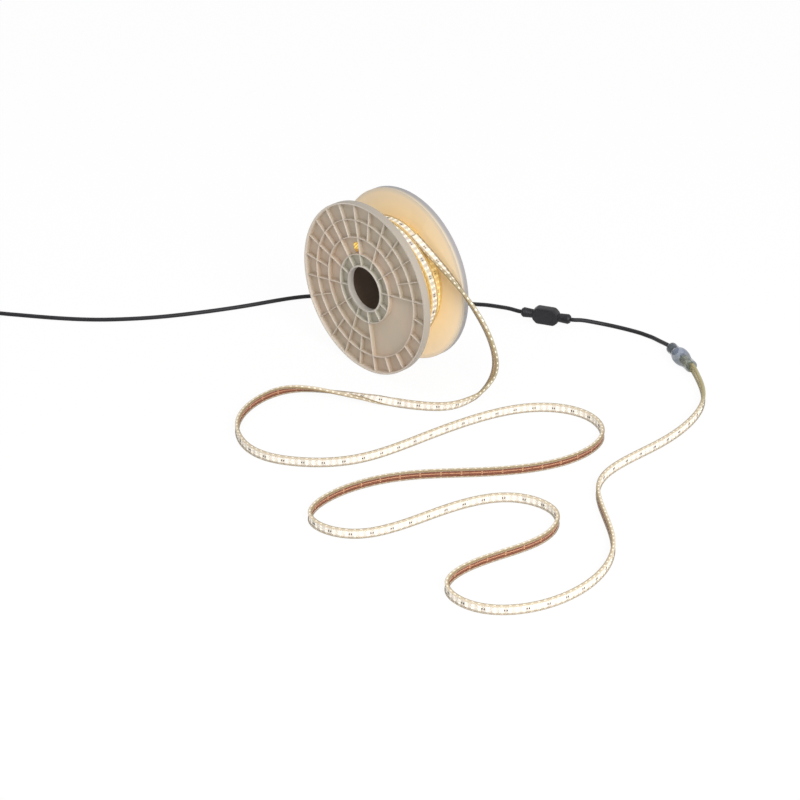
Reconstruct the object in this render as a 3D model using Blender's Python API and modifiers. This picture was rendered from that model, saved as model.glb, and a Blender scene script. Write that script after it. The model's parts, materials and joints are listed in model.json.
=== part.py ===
# LED rope light reel: a moulded plastic spool holding a flat 230 V light strip, whose
# free end runs over the floor to a clear connector, a feed cord, a rectifier box and a mains lead.
# Units are metres, +Z is up. The origin is on the floor under the middle of the spool,
# whose axis runs along Y; the ribbed front flange faces -Y.
import math

import bmesh
import bpy
import numpy as np
from mathutils import Matrix, Vector

# Spool
reel_radius = 0.155
reel_width = 0.102
flange_depth = 0.0135
rim_thickness = 0.004
panel_thickness = 0.003
bore_radius = 0.0395
collar_wall = 0.0028
rib_thickness = 0.0018
rib_setback = 0.002
ring_proud = 0.0002
inner_ring_radius = 0.062
middle_ring_radius = 0.093
outer_ring_radius = 0.124
main_rib_count = 12
main_rib_start = 10.0
half_rib_start = 25.0
window_start = -80.0
window_end = 10.0
rib_bury = 0.0009
spool_sides = 48

# Drum and its seats in the flanges
drum_radius = 0.062
drum_wall = 0.0025
spigot_wall = 0.0025
spigot_length = 0.012
gap = 0.0003

# Light strip
strip_width = 0.015
strip_thickness = 0.007
full_layers = 6
column_count = 5
proud_columns = 2
column_groove = 0.0012
floor_gap = 0.0002

# Last turn of the winding, which crosses from one column to the next before it leaves
leave_angle = 62.0
leave_offset = 0.0205
crossing_end_angle = -16.0
crossing_end_offset = 0.0163
crossing_start_angle = 70.0
crossing_start_offset = 0.004
last_turn_sweep = 359.0
last_turn_steps = 48

# Hole in the flange where the strip's inner end comes out
tail_hole_angle = 110.0
tail_rise = 0.0108
tail_hole_size = 0.018
tail_hole_corner = 0.005
tail_reach = 0.0068
tail_cap_wall = 0.0009
tail_cap_length = 0.0036

# Route of the free strip from the winding to the connector, chosen by hand
strip_route = [
    (0.0513, 0.0205, 0.2514), (0.140, 0.0265, 0.1995), (0.201, 0.0375, 0.139), (0.223, 0.047, 0.084),
    (0.215, 0.053, 0.034), (0.214, 0.021, 0.0095), (0.209, -0.038, 0.0078), (0.156, -0.089, 0.0081),
    (0.091, -0.127, 0.0093), (0.038, -0.157, 0.0096), (-0.023, -0.213, 0.0090), (-0.001, -0.330, 0.0079),
    (0.092, -0.380, 0.0077), (0.167, -0.352, 0.0077), (0.230, -0.273, 0.0077), (0.255, -0.125, 0.0077),
    (0.300, 0.050, 0.0077), (0.382, 0.106, 0.0077), (0.450, 0.076, 0.0077), (0.465, -0.021, 0.0077),
    (0.405, -0.141, 0.0077), (0.320, -0.254, 0.0077), (0.287, -0.372, 0.0077), (0.317, -0.446, 0.0077),
    (0.397, -0.422, 0.0077), (0.439, -0.274, 0.0077), (0.488, -0.168, 0.0077), (0.563, -0.153, 0.0077),
    (0.601, -0.217, 0.0077), (0.582, -0.336, 0.0077), (0.596, -0.419, 0.0077), (0.667, -0.423, 0.0077),
    (0.733, -0.324, 0.0077), (0.693, -0.160, 0.0077), (0.550, -0.038, 0.0077), (0.531, 0.132, 0.0077),
    (0.490, 0.282, 0.0080), (0.433, 0.335, 0.0130)]
landing_point = 5.0
landing_blend = 1.5
twist_stops = ((7.1, 0.0), (8.0, 90.0), (9.0, 120.0), (9.65, 147.0), (10.15, 180.0))
sway_turn = -68.0
sway_full = 1.9
sway_hold = 3.2
sway_done = 7.4
face_lift = 0.6
tangent_step = 0.02
steep_limit = 0.1
strip_stations = 79

# Connector at the strip's end
connector_front = Vector((0.4025, 0.3534, 0.0153))
connector_rear = Vector((0.3304, 0.3813, 0.0153))
neck_length = 0.022
front_neck_radius = 0.0113
rear_neck_radius = 0.0102
bulge_radius = 0.0146
shell_wall = 0.0014
round_sides = 24
strip_seal_length = 0.006
strip_bury = 0.0130
holder_length = 0.018
pin_radius = 0.001
pin_spacing = 0.009
pin_length = 0.012
gland_length = 0.017
gland_chamfer = 0.0008
slot_depth = 0.02

# Black cords
cord_radius = 0.00375
cord_rest = cord_radius + floor_gap
cord_bevel_resolution = 2
feed_stations = 14
mains_stations = 66

# Rectifier box, which stands on its long edge; its width is upright and its depth level
rectifier_place = (0.0967, 0.3054)
rectifier_heading = math.radians(27.9)
box_length = 0.049
box_width = 0.0315
box_depth = 0.0185
box_chamfer = 0.0082
box_wall = 0.002
box_edge = 0.002
relief_length = 0.0214
relief_radius = 0.0091
relief_groove = 0.0012
relief_tip_cut = 0.0022
relief_tip_slope = 0.0015
relief_slot_count = 2
relief_slot_pitch = 0.0061
relief_slot_width = 0.0018
relief_slot_ramp = 0.0011
relief_neck_radius = 0.0051
relief_flange_radius = 0.0064
relief_flange_length = 0.0025
board_length = 0.030
board_width = 0.022
board_thickness = 0.0016
board_seat = 0.0022
post_radius = 0.0022
post_bury = 0.001
bridge_size = Vector((0.011, 0.014, 0.0045))
bridge_edge = 0.0006
bridge_place = -0.006
capacitor_radius = 0.0035
capacitor_length = 0.013
capacitor_place = (0.0015, 0.005)
fuse_radius = 0.0025
fuse_length = 0.016
fuse_place = (0.0005, -0.0065)

# Mains lead: visible run, round coil and flat plug
turn_radii = (0.045, 0.0375, 0.0412)
coil_tangent = Vector((-0.6389, -0.4354, cord_rest))
coil_section_margin = 0.0004
coil_height = 0.0149
coil_bevel = 0.00225
coil_top_drop = 0.0006
tie_angle = -50.0
tie_width = 0.005
tie_thickness = 0.0008
plug_run = 0.062
plug_relief_length = 0.022
plug_relief_radius = 0.0052
plug_relief_flare = 0.0012
plug_length = 0.036
plug_width = 0.0353
plug_thickness = 0.0137
plug_rear_width = 0.018
plug_front_width = 0.0282
plug_front_slope = 0.006
plug_taper_end = 0.016
plug_edge = 0.002
pin_pitch = 0.0186
plug_pin_radius = 0.002
plug_pin_length = 0.019
plug_pin_root = 0.004

# How much shorter an octagon's slanted corner gets when its sides move in by one unit
octagon_inset = 2 - math.sqrt(2)


def clear_scene():
    for item in list(bpy.data.objects):
        bpy.data.objects.remove(item)


def make_collection(name):
    collection = bpy.data.collections.new(name)
    bpy.context.scene.collection.children.link(collection)
    return collection


def make_material(name, colour, roughness, metallic=0.0, alpha=1.0):
    material = bpy.data.materials.new(name)
    material.use_nodes = True
    shader = material.node_tree.nodes["Principled BSDF"]
    shader.inputs["Base Color"].default_value = (*colour, 1.0)
    shader.inputs["Roughness"].default_value = roughness
    shader.inputs["Metallic"].default_value = metallic
    shader.inputs["Alpha"].default_value = alpha
    material.diffuse_color = (*colour, alpha)
    return material


def add_object(name, mesh, material=None, collection=None):
    thing = bpy.data.objects.new(name, mesh)
    if material:
        mesh.materials.append(material)
    (collection or parts).objects.link(thing)
    return thing


def mesh_from(bm, name):
    bmesh.ops.recalc_face_normals(bm, faces=bm.faces)
    mesh = bpy.data.meshes.new(name)
    bm.to_mesh(mesh)
    bm.free()
    return mesh


def modify(thing, name, kind, **settings):
    modifier = thing.modifiers.new(name, kind)
    for key, value in settings.items():
        setattr(modifier, key, value)
    return modifier


def as_cutter(thing):
    thing.hide_render = True
    thing.display_type = "WIRE"
    return thing


def combine(thing, other, operation):
    label = operation.lower() + " " + other.name
    modify(thing, label, "BOOLEAN", operation=operation, object=other, solver="EXACT")


def box_mesh(name, size, centre=(0, 0, 0), edge=0.0):
    bm = bmesh.new()
    bmesh.ops.create_cube(bm, size=1.0)
    bmesh.ops.scale(bm, vec=size, verts=bm.verts)
    bmesh.ops.translate(bm, vec=centre, verts=bm.verts)
    if edge:
        bmesh.ops.bevel(bm, geom=bm.edges[:], offset=edge, segments=1, profile=0.5, affect="EDGES")
    return mesh_from(bm, name)


def outline_mesh(name, corners, bottom, top, edge=0.0):
    """A flat outline raised from bottom to top, with its upper and lower edges chamfered by edge."""
    bm = bmesh.new()
    face = bm.faces.new([bm.verts.new((x, y, bottom)) for x, y in corners])
    raised = bmesh.ops.extrude_face_region(bm, geom=[face])
    moved = [item for item in raised["geom"] if isinstance(item, bmesh.types.BMVert)]
    bmesh.ops.translate(bm, vec=(0, 0, top - bottom), verts=moved)
    if edge:
        flat = [e for e in bm.edges if abs(e.verts[0].co.z - e.verts[1].co.z) < 1e-7]
        bmesh.ops.bevel(bm, geom=flat, offset=edge, segments=1, profile=0.5, affect="EDGES")
    return mesh_from(bm, name)


def turned(name, profile, sides, material=None, collection=None):
    """A profile of (radius, height) points, outer side running down, turned about local Z. It is closed
    unless it starts and ends on the axis."""
    bm = bmesh.new()
    points = [bm.verts.new((radius, 0, height)) for radius, height in profile]
    for first, second in zip(points, points[1:]):
        bm.edges.new((first, second))
    if profile[0][0] > 0:
        bm.edges.new((points[-1], points[0]))
    mesh = bpy.data.meshes.new(name)
    bm.to_mesh(mesh)
    bm.free()
    thing = add_object(name, mesh, material, collection)
    modify(thing, "turn", "SCREW", axis="Z", angle=2 * math.pi, steps=sides, render_steps=sides,
           use_merge_vertices=True, merge_threshold=0.00001)
    return thing


def rod(name, radius, length, material, sides=16, tip=0.0):
    """A solid round rod along local +X from 0 to length, its far edge rounded off by tip."""
    bm = bmesh.new()
    bmesh.ops.create_cone(bm, cap_ends=True, segments=sides, radius1=radius, radius2=radius, depth=length)
    if tip:
        far = [e for e in bm.edges if min(v.co.z for v in e.verts) > length / 2 - 1e-7]
        bmesh.ops.bevel(bm, geom=far, offset=tip, segments=2, profile=0.5, affect="EDGES")
    bmesh.ops.translate(bm, vec=(0, 0, length / 2), verts=bm.verts)
    bmesh.ops.rotate(bm, matrix=Matrix.Rotation(math.pi / 2, 3, "Y"), verts=bm.verts)
    return add_object(name, mesh_from(bm, name), material)


def spline_through(points):
    """A natural cubic spline through the points; the function returned takes a fractional point number."""
    route = np.array(points, dtype=float)
    knots = np.concatenate([[0.0], np.cumsum(np.linalg.norm(np.diff(route, axis=0), axis=1) ** 0.5)])
    step = np.diff(knots)
    count = len(route)
    system = np.eye(count)
    bend = np.zeros_like(route)
    for k in range(1, count - 1):
        system[k, k - 1:k + 2] = step[k - 1], 2 * (step[k - 1] + step[k]), step[k]
        bend[k] = 6 * ((route[k + 1] - route[k]) / step[k] - (route[k] - route[k - 1]) / step[k - 1])
    second = np.linalg.solve(system, bend)

    def place(number):
        k = min(int(number), count - 2)
        h = step[k]
        right = (number - k) * h
        left = h - right
        return Vector(second[k] * left ** 3 / (6 * h) + second[k + 1] * right ** 3 / (6 * h)
                      + (route[k] / h - second[k] * h / 6) * left
                      + (route[k + 1] / h - second[k + 1] * h / 6) * right)

    return place


def tube(name, points, radius, material):
    curve = bpy.data.curves.new(name, "CURVE")
    curve.dimensions = "3D"
    curve.bevel_depth = radius
    curve.bevel_resolution = cord_bevel_resolution
    curve.use_fill_caps = True
    line = curve.splines.new("POLY")
    line.points.add(len(points) - 1)
    for target, point in zip(line.points, points):
        target.co = (*point, 1.0)
    return add_object(name, curve, material)


def ribbon(name, rails, thickness, material=None, collection=None):
    """A flat band whose two long edges follow the pairs of points in rails."""
    bm = bmesh.new()
    pairs = [[bm.verts.new(point) for point in pair] for pair in rails]
    for (a, b), (c, d) in zip(pairs, pairs[1:]):
        bm.faces.new((a, b, d, c))
    mesh = bpy.data.meshes.new(name)
    bm.to_mesh(mesh)
    bm.free()
    thing = add_object(name, mesh, material, collection)
    modify(thing, "thickness", "SOLIDIFY", thickness=thickness, offset=0.0)
    return thing


def polar(radius, degrees, y):
    angle = math.radians(degrees)
    return Vector((radius * math.cos(angle), y, reel_radius + radius * math.sin(angle)))


def flange_ribs():
    """All the radial ribs of one flange, in the flange's own frame."""
    inner_level = reel_width / 2 - flange_depth
    panel_level = inner_level + panel_thickness
    top = reel_width / 2 - rib_setback
    bottom = panel_level - rib_bury
    collar = bore_radius + collar_wall / 2
    rim = reel_radius - rim_thickness / 2
    bm = bmesh.new()

    def rib(start, end, degrees):
        made = bmesh.ops.create_cube(bm, size=1.0)["verts"]
        bmesh.ops.scale(bm, vec=(end - start, rib_thickness, top - bottom), verts=made)
        bmesh.ops.translate(bm, vec=((start + end) / 2, 0, (top + bottom) / 2), verts=made)
        bmesh.ops.rotate(bm, matrix=Matrix.Rotation(math.radians(degrees), 3, "Z"), verts=made)

    pitch = 360.0 / main_rib_count
    for k in range(main_rib_count):
        main = main_rib_start + k * pitch
        half = half_rib_start + k * pitch
        window = window_start % 360 + 1 < main % 360 < 359
        if window:
            rib(collar, inner_ring_radius, main)
            rib(outer_ring_radius, rim, main)
        else:
            rib(collar, rim, main)
        in_window = half % 360 > window_start % 360 or half % 360 < window_end
        rib(outer_ring_radius if in_window else middle_ring_radius, rim, half)
    return mesh_from(bm, "flange_ribs")


def part_ring():
    """The middle ring of the flange, which stops at the plain window."""
    inner_level = reel_width / 2 - flange_depth
    top = reel_width / 2 - rib_setback + ring_proud
    bottom = inner_level + panel_thickness - rib_bury + ring_proud
    sweep = 360 + window_start - window_end
    inner = middle_ring_radius - rib_thickness / 2
    outer = middle_ring_radius + rib_thickness / 2
    bm = bmesh.new()
    section = [bm.verts.new(point) for point in
               ((inner, 0, bottom), (outer, 0, bottom), (outer, 0, top), (inner, 0, top))]
    face = bm.faces.new(section)
    bmesh.ops.rotate(bm, matrix=Matrix.Rotation(math.radians(window_end), 3, "Z"), verts=bm.verts)
    start = bmesh.ops.duplicate(bm, geom=[face])["geom"]
    moving = [item for item in start if isinstance(item, bmesh.types.BMFace)]
    bmesh.ops.spin(bm, geom=moving, axis=(0, 0, 1), angle=math.radians(sweep), steps=45)
    bmesh.ops.remove_doubles(bm, verts=bm.verts, dist=1e-6)
    return mesh_from(bm, "middle_ring")


def tail_hole_mesh():
    radius = drum_radius + tail_rise
    bm = bmesh.new()
    bmesh.ops.create_cube(bm, size=tail_hole_size)
    upright = [e for e in bm.edges if abs(e.verts[0].co.z - e.verts[1].co.z) > tail_hole_size / 2]
    bmesh.ops.bevel(bm, geom=upright, offset=tail_hole_corner, segments=3, profile=0.5, affect="EDGES")
    bmesh.ops.translate(bm, vec=(radius, 0, reel_width / 2 - flange_depth), verts=bm.verts)
    bmesh.ops.rotate(bm, matrix=Matrix.Rotation(math.radians(tail_hole_angle), 3, "Z"), verts=bm.verts)
    return mesh_from(bm, "tail_hole")


def make_flanges():
    face = reel_width / 2
    inner = face - flange_depth
    panel = inner + panel_thickness
    ring_top = face - rib_setback + ring_proud
    half = rib_thickness / 2
    spigot = drum_radius - drum_wall - gap
    profile = [
        (reel_radius, face), (reel_radius, inner), (spigot, inner), (spigot, inner - spigot_length),
        (spigot - spigot_wall, inner - spigot_length), (spigot - spigot_wall, inner), (bore_radius, inner),
        (bore_radius, ring_top), (bore_radius + collar_wall, ring_top), (bore_radius + collar_wall, panel)]
    for radius in (inner_ring_radius, outer_ring_radius):
        profile += [(radius - half, panel), (radius - half, ring_top),
                    (radius + half, ring_top), (radius + half, panel)]
    profile += [(reel_radius - rim_thickness, panel), (reel_radius - rim_thickness, face)]
    for name, turn in (("front_flange", 0.0), ("rear_flange", math.pi)):
        placed = Matrix.Translation((0, 0, reel_radius)) @ Matrix.Rotation(turn, 4, "Z")
        placed = placed @ Matrix.Rotation(math.pi / 2, 4, "X")
        flange = turned(name, profile, spool_sides, flange_plastic)
        flange.matrix_world = placed
        for label, mesh, operation in (("ribs", flange_ribs(), "UNION"), ("ring", part_ring(), "UNION"),
                                       ("hole", tail_hole_mesh(), "DIFFERENCE")):
            helper = as_cutter(add_object(name + "_" + label, mesh, None, cutters))
            helper.matrix_world = placed
            combine(flange, helper, operation)


def lay_along_reel(thing):
    thing.location = (0, 0, reel_radius)
    thing.rotation_euler = (math.pi / 2, 0, 0)


def make_drum():
    half = reel_width / 2 - flange_depth - gap
    inner = drum_radius - drum_wall
    drum = turned("winding_drum", [(drum_radius, half), (drum_radius, -half), (inner, -half), (inner, half)],
                  spool_sides, drum_plastic)
    lay_along_reel(drum)


def smooth(share):
    """0 below 0, 1 above 1 and eased between."""
    share = min(max(share, 0.0), 1.0)
    return share * share * (3 - 2 * share)


def last_turn_path(degrees):
    """Sideways place of the last turn at an angle, from leave_angle to a whole turn before it."""
    crossing = 360.0 + crossing_end_angle
    if degrees < crossing:
        share = (degrees - leave_angle) / (crossing - leave_angle)
        return leave_offset + (crossing_end_offset - leave_offset) * share
    share = smooth((degrees - crossing) / (crossing_start_angle - crossing_end_angle))
    return crossing_end_offset + (crossing_start_offset - crossing_end_offset) * share


def make_wound_strip():
    """The roll: six whole layers, a seventh over the front columns, and the last turn that leaves."""
    half = reel_width / 2 - flange_depth - gap
    base = drum_radius + gap
    whole = base + full_layers * strip_thickness
    proud = whole + strip_thickness
    column = 2 * half / column_count
    profile = [(base, half), (whole - column_groove, half)]
    for k in range(column_count, 0, -1):
        near = -half + k * column
        far = near - column
        top = proud if k <= proud_columns else whole
        profile += [(top, near - column_groove), (top, far + column_groove)]
        profile += [(top - column_groove, far)]
    profile += [(base, -half)]
    outline = profile[1:] + profile[:1]
    roll = turned("wound_strip", outline, spool_sides, strip_plastic)
    roll.matrix_world = Matrix.Translation((0, 0, reel_radius)) @ Matrix.Rotation(-math.pi / 2, 4, "X")
    rails = []
    centre = whole + strip_thickness / 2 - gap
    for k in range(last_turn_steps + 1):
        degrees = leave_angle + (360.0 - last_turn_sweep) / 2 + last_turn_sweep * k / last_turn_steps
        y = last_turn_path(degrees)
        rails.append((polar(centre, degrees, y - strip_width / 2), polar(centre, degrees, y + strip_width / 2)))
    turn = as_cutter(ribbon("last_turn", rails, strip_thickness + gap, None, cutters))
    combine(roll, turn, "UNION")


def twist_at(number):
    """How far the strip has turned over at a fractional route point, in degrees."""
    turned = 0.0
    for (start, low), (end, high) in zip(twist_stops, twist_stops[1:]):
        share = min(max((number - start) / (end - start), 0.0), 1.0)
        turned += (high - low) * share
    return turned


def strip_frame(place, number, last):
    """Centre, crosswise direction and direction of the strip's lit face at a fractional route point."""
    centre = place(number)
    travel = (place(min(number + tangent_step, last)) - place(max(number - tangent_step, 0))).normalized()
    left = Vector((-travel.y, travel.x, 0))
    if number < landing_point or left.length < steep_limit:
        lift = face_lift * max(0.0, 1 - number / landing_point)
        face = Vector((1, 0, lift))
    else:
        angle = math.radians(twist_at(number))
        face = left.normalized() * math.cos(angle) + Vector((0, 0, 1)) * math.sin(angle)
        blend = min((number - landing_point) / landing_blend, 1.0)
        face = Vector((1, 0, 0)).lerp(face, blend)
    face = (face - travel * face.dot(travel)).normalized()
    sway = sway_turn * smooth(number / sway_full) * (1 - smooth((number - sway_hold) / (sway_done - sway_hold)))
    face = Matrix.Rotation(math.radians(sway), 3, travel) @ face
    across = travel.cross(face)
    reach = abs(across.z) * strip_width / 2 + abs(face.z) * strip_thickness / 2
    centre.z = max(centre.z, reach + floor_gap)
    return centre, across, face


def whole_strip_route():
    inward = (connector_rear - connector_front).normalized() * strip_bury
    return strip_route + [tuple(connector_front), tuple(connector_front + inward)]


def make_led_strip():
    route = whole_strip_route()
    place = spline_through(route)
    rails = []
    last = len(route) - 1
    for k in range(strip_stations):
        centre, across, face = strip_frame(place, last * k / (strip_stations - 1), last)
        half = across * strip_width / 2
        rails.append((centre + half, centre - half))
    ribbon("led_strip", rails, strip_thickness, strip_plastic)


def make_tail():
    """The strip's inner end, which comes out through the front flange, and its clear cap."""
    radial = Vector((math.cos(math.radians(tail_hole_angle)), 0, math.sin(math.radians(tail_hole_angle))))
    start = reel_width / 2 - flange_depth - gap
    turn = Matrix.Rotation(-math.radians(tail_hole_angle), 4, "Y")
    place = Matrix.Translation(Vector((0, -start, reel_radius)) + radial * (drum_radius + tail_rise)) @ turn
    tail = add_object("strip_tail", box_mesh("strip_tail", (strip_thickness, tail_reach, strip_width),
                                             (0, -tail_reach / 2, 0)), strip_plastic)
    tail.matrix_world = place
    size = (strip_thickness + 2 * tail_cap_wall, tail_cap_length, strip_width + 2 * tail_cap_wall)
    cap = add_object("tail_end_cap", box_mesh("tail_end_cap", size, (0, -tail_reach - gap - tail_cap_length / 2, 0),
                                              tail_cap_wall / 2), clear_plastic)
    cap.matrix_world = place


def along(start, end):
    """A frame at start whose X axis points to end and whose Z axis is upright."""
    x = (end - start).normalized()
    y = Vector((0, 0, 1)).cross(x).normalized()
    z = x.cross(y)
    matrix = Matrix((x, y, z)).transposed().to_4x4()
    return Matrix.Translation(start) @ matrix


def turn_to_x(matrix):
    """The same frame for a turned piece, whose own axis is Z."""
    return matrix @ Matrix.Rotation(math.pi / 2, 4, "Y")


def make_connector():
    frame = along(connector_rear, connector_front)
    length = (connector_front - connector_rear).length
    bulge_end = length - neck_length
    inner_front = front_neck_radius - shell_wall
    inner_rear = rear_neck_radius - shell_wall
    inner_bulge = bulge_radius - shell_wall
    ramp = bulge_radius - front_neck_radius
    rear_outer = [(rear_neck_radius, neck_length), (rear_neck_radius, 0)]
    profile = [
        (front_neck_radius, length), (front_neck_radius, bulge_end + ramp), (bulge_radius, bulge_end - ramp),
        (bulge_radius, neck_length + ramp / 2), (bulge_radius - ramp / 2, neck_length)] + rear_outer
    profile += [(inner_rear, 0), (inner_rear, neck_length + shell_wall),
                (inner_bulge, neck_length + shell_wall + ramp), (inner_bulge, bulge_end - ramp - shell_wall),
                (inner_front, bulge_end), (inner_front, length)]
    shell = turned("connector_shell", profile, round_sides, connector_plastic)
    shell.matrix_world = turn_to_x(frame)

    gland = turned("connector_cord_gland", [
        (0, gland_length), (inner_rear - gap, gland_length), (inner_rear - gap, gland_chamfer),
        (inner_rear - gap - gland_chamfer, 0), (cord_radius + gap, 0),
        (cord_radius + gap, gland_length - cord_radius), (0, gland_length - cord_radius)],
                   round_sides, black_rubber)
    gland.matrix_world = turn_to_x(frame)

    holder_start = length - strip_bury - gap - holder_length
    holder = turned("connector_pin_holder", [
        (0, holder_length), (inner_front - gap, holder_length), (inner_front - gap, holder_length / 2),
        (inner_rear, 0), (0, 0)], round_sides, pin_holder_plastic)
    holder.matrix_world = turn_to_x(frame @ Matrix.Translation((holder_start, 0, 0)))
    for side, name in ((1, "connector_pin_upper"), (-1, "connector_pin_lower")):
        hole_mesh = rod_mesh(pin_radius + gap / 2, holder_length * 2, 12)
        pin_hole = as_cutter(add_object(name + "_hole", hole_mesh, None, cutters))
        offset = Matrix.Translation((holder_start - holder_length / 2, 0, side * pin_spacing / 2))
        pin_hole.matrix_world = frame @ offset
        combine(holder, pin_hole, "DIFFERENCE")
        pin = rod(name, pin_radius, pin_length, brass, 10, pin_radius * 0.4)
        start = length - strip_bury - gap - pin_length
        pin.matrix_world = frame @ Matrix.Translation((start, 0, side * pin_spacing / 2))

    seal = turned("connector_strip_seal", [
        (0, strip_seal_length), (inner_front - gap, strip_seal_length), (inner_front - gap, 0), (0, 0)],
                  round_sides, clear_plastic)
    seal.matrix_world = turn_to_x(frame @ Matrix.Translation((length - strip_seal_length - gap, 0, 0)))
    slot = as_cutter(add_object("strip_slot", box_mesh("strip_slot", (
        2 * slot_depth, strip_thickness + 2 * gap, strip_width + 2 * gap)), None, cutters))
    slot.matrix_world = frame @ Matrix.Translation((length, 0, 0))
    combine(seal, slot, "DIFFERENCE")


def rod_mesh(radius, length, sides):
    bm = bmesh.new()
    bmesh.ops.create_cone(bm, cap_ends=True, segments=sides, radius1=radius, radius2=radius, depth=length)
    bmesh.ops.translate(bm, vec=(0, 0, length / 2), verts=bm.verts)
    bmesh.ops.rotate(bm, matrix=Matrix.Rotation(math.pi / 2, 3, "Y"), verts=bm.verts)
    return mesh_from(bm, "rod")


def octagon(length, width, chamfer):
    x = length / 2
    y = width / 2
    return [(x, -y + chamfer), (x, y - chamfer), (x - chamfer, y), (-x + chamfer, y),
            (-x, y - chamfer), (-x, -y + chamfer), (-x + chamfer, -y), (x - chamfer, -y)]


def rectifier_frame():
    """X runs along the box to the feed cord, Y up and Z to the front, out of its cover."""
    upright = Matrix.Rotation(rectifier_heading, 4, "Z") @ Matrix.Rotation(math.pi / 2, 4, "X")
    return Matrix.Translation((*rectifier_place, box_width / 2 + floor_gap)) @ upright


def make_rectifier_shells():
    frame = rectifier_frame()
    room = octagon(box_length - 2 * box_wall, box_width - 2 * box_wall, box_chamfer - box_wall * octagon_inset)
    reach = box_depth / 2 - box_wall
    for name, side in (("rectifier_rear_shell", -1), ("rectifier_front_shell", 1)):
        low, high = sorted((side * gap / 2, side * box_depth / 2))
        body = outline_mesh(name, octagon(box_length, box_width, box_chamfer), low, high)
        bm = bmesh.new()
        bm.from_mesh(body)
        outer = [e for e in bm.edges if all(abs(abs(v.co.z) - box_depth / 2) < 1e-6 for v in e.verts)]
        bmesh.ops.bevel(bm, geom=outer, offset=box_edge, segments=2, profile=0.5, affect="EDGES")
        bm.to_mesh(body)
        bm.free()
        shell = add_object(name, body, black_plastic)
        shell.matrix_world = frame
        inside = sorted((-side * box_wall, side * reach))
        cavity = as_cutter(add_object(name + "_room", outline_mesh("room", room, *inside), None, cutters))
        cavity.matrix_world = frame
        combine(shell, cavity, "DIFFERENCE")
        hole_mesh = rod_mesh(relief_neck_radius + gap, box_length * 2, 20)
        hole = as_cutter(add_object(name + "_holes", hole_mesh, None, cutters))
        hole.matrix_world = frame @ Matrix.Translation((-box_length, 0, 0))
        combine(shell, hole, "DIFFERENCE")
        if side < 0:
            add_posts(shell, frame, reach)


def board_level():
    return -box_depth / 2 + box_wall + board_seat


def add_posts(shell, frame, reach):
    """Four short posts inside the rear shell, which carry the circuit board."""
    for number, (x, y) in enumerate(((1, 1), (1, -1), (-1, 1), (-1, -1))):
        bm = bmesh.new()
        height = board_seat + post_bury
        bmesh.ops.create_cone(bm, cap_ends=True, segments=10, radius1=post_radius, radius2=post_radius,
                              depth=height)
        middle = -reach - post_bury + height / 2
        place = (x * (board_length / 2 - post_radius), y * (board_width / 2 - post_radius), middle)
        bmesh.ops.translate(bm, vec=place, verts=bm.verts)
        post = as_cutter(add_object("board_post_%d" % number, mesh_from(bm, "post"), None, cutters))
        post.matrix_world = frame
        combine(shell, post, "UNION")


def make_rectifier_inside():
    frame = rectifier_frame()
    low = board_level() + gap
    board = add_object("rectifier_board", box_mesh("rectifier_board", (board_length, board_width, board_thickness),
                                                   (0, 0, low + board_thickness / 2)), board_green)
    board.matrix_world = frame
    top = low + board_thickness + gap
    bridge = add_object("bridge_rectifier", box_mesh("bridge_rectifier", bridge_size, (
        bridge_place, 0, top + bridge_size.z / 2), bridge_edge), black_plastic)
    bridge.matrix_world = frame
    capacitor = rod("filter_capacitor", capacitor_radius, capacitor_length, capacitor_sleeve, 16)
    capacitor.matrix_world = frame @ Matrix.Translation((*capacitor_place, top + capacitor_radius))
    fuse = rod("fuse", fuse_radius, fuse_length, fuse_glass, 12)
    fuse.matrix_world = frame @ Matrix.Translation((*fuse_place, top + fuse_radius))


def make_strain_reliefs():
    half = box_length / 2
    groove = relief_radius - relief_groove
    outer = [(0, relief_length), (relief_radius - relief_tip_cut, relief_length),
             (relief_radius, relief_length - relief_tip_slope)]
    for k in range(relief_slot_count):
        slot = relief_length - (k + 1) * relief_slot_pitch
        outer += [(relief_radius, slot + relief_slot_ramp), (groove, slot), (groove, slot - relief_slot_width),
                  (relief_radius, slot - relief_slot_width - relief_slot_ramp)]
    outer += [(relief_radius, gap)]
    bottom = -box_wall - relief_flange_length - gap
    outer += [(relief_neck_radius, gap), (relief_neck_radius, -box_wall - gap),
              (relief_flange_radius, -box_wall - gap), (relief_flange_radius, bottom), (0, bottom)]
    frame = rectifier_frame()
    for name, turn in (("strain_relief_feed", 0.0), ("strain_relief_mains", math.pi)):
        relief = turned(name, outer, 20, black_rubber)
        relief.matrix_world = turn_to_x(frame @ Matrix.Rotation(turn, 4, "Z") @ Matrix.Translation((half, 0, 0)))


def relief_end(side, extra=0.0):
    return rectifier_frame() @ Vector((side * (box_length / 2 + relief_length + extra), 0, 0))


def sampled(points, stations):
    place = spline_through(points)
    last = len(points) - 1
    made = [place(last * k / (stations - 1)) for k in range(stations)]
    for point in made:
        point.z = max(point.z, cord_rest)
    return made


def feed_route():
    start = relief_end(1, gap)
    heading = (connector_rear - connector_front).normalized()
    end = connector_rear - heading * (gland_length - cord_radius - gap)
    return [start, relief_end(1, 0.006), (0.1501, 0.3395, 0.0150), (0.1638, 0.3567, 0.0105), (0.1789, 0.3724, 0.0060),
            (0.1980, 0.3835, 0.0042), (0.2202, 0.3914, 0.0040), (0.2434, 0.3977, 0.0040), (0.2569, 0.3988, 0.0045),
            (0.2715, 0.3985, 0.0057), (0.2892, 0.3944, 0.0082), (0.3081, 0.3890, 0.0117), connector_rear + heading * 0.002,
            connector_rear - heading * 0.004, connector_rear - heading * 0.008, end]


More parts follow.
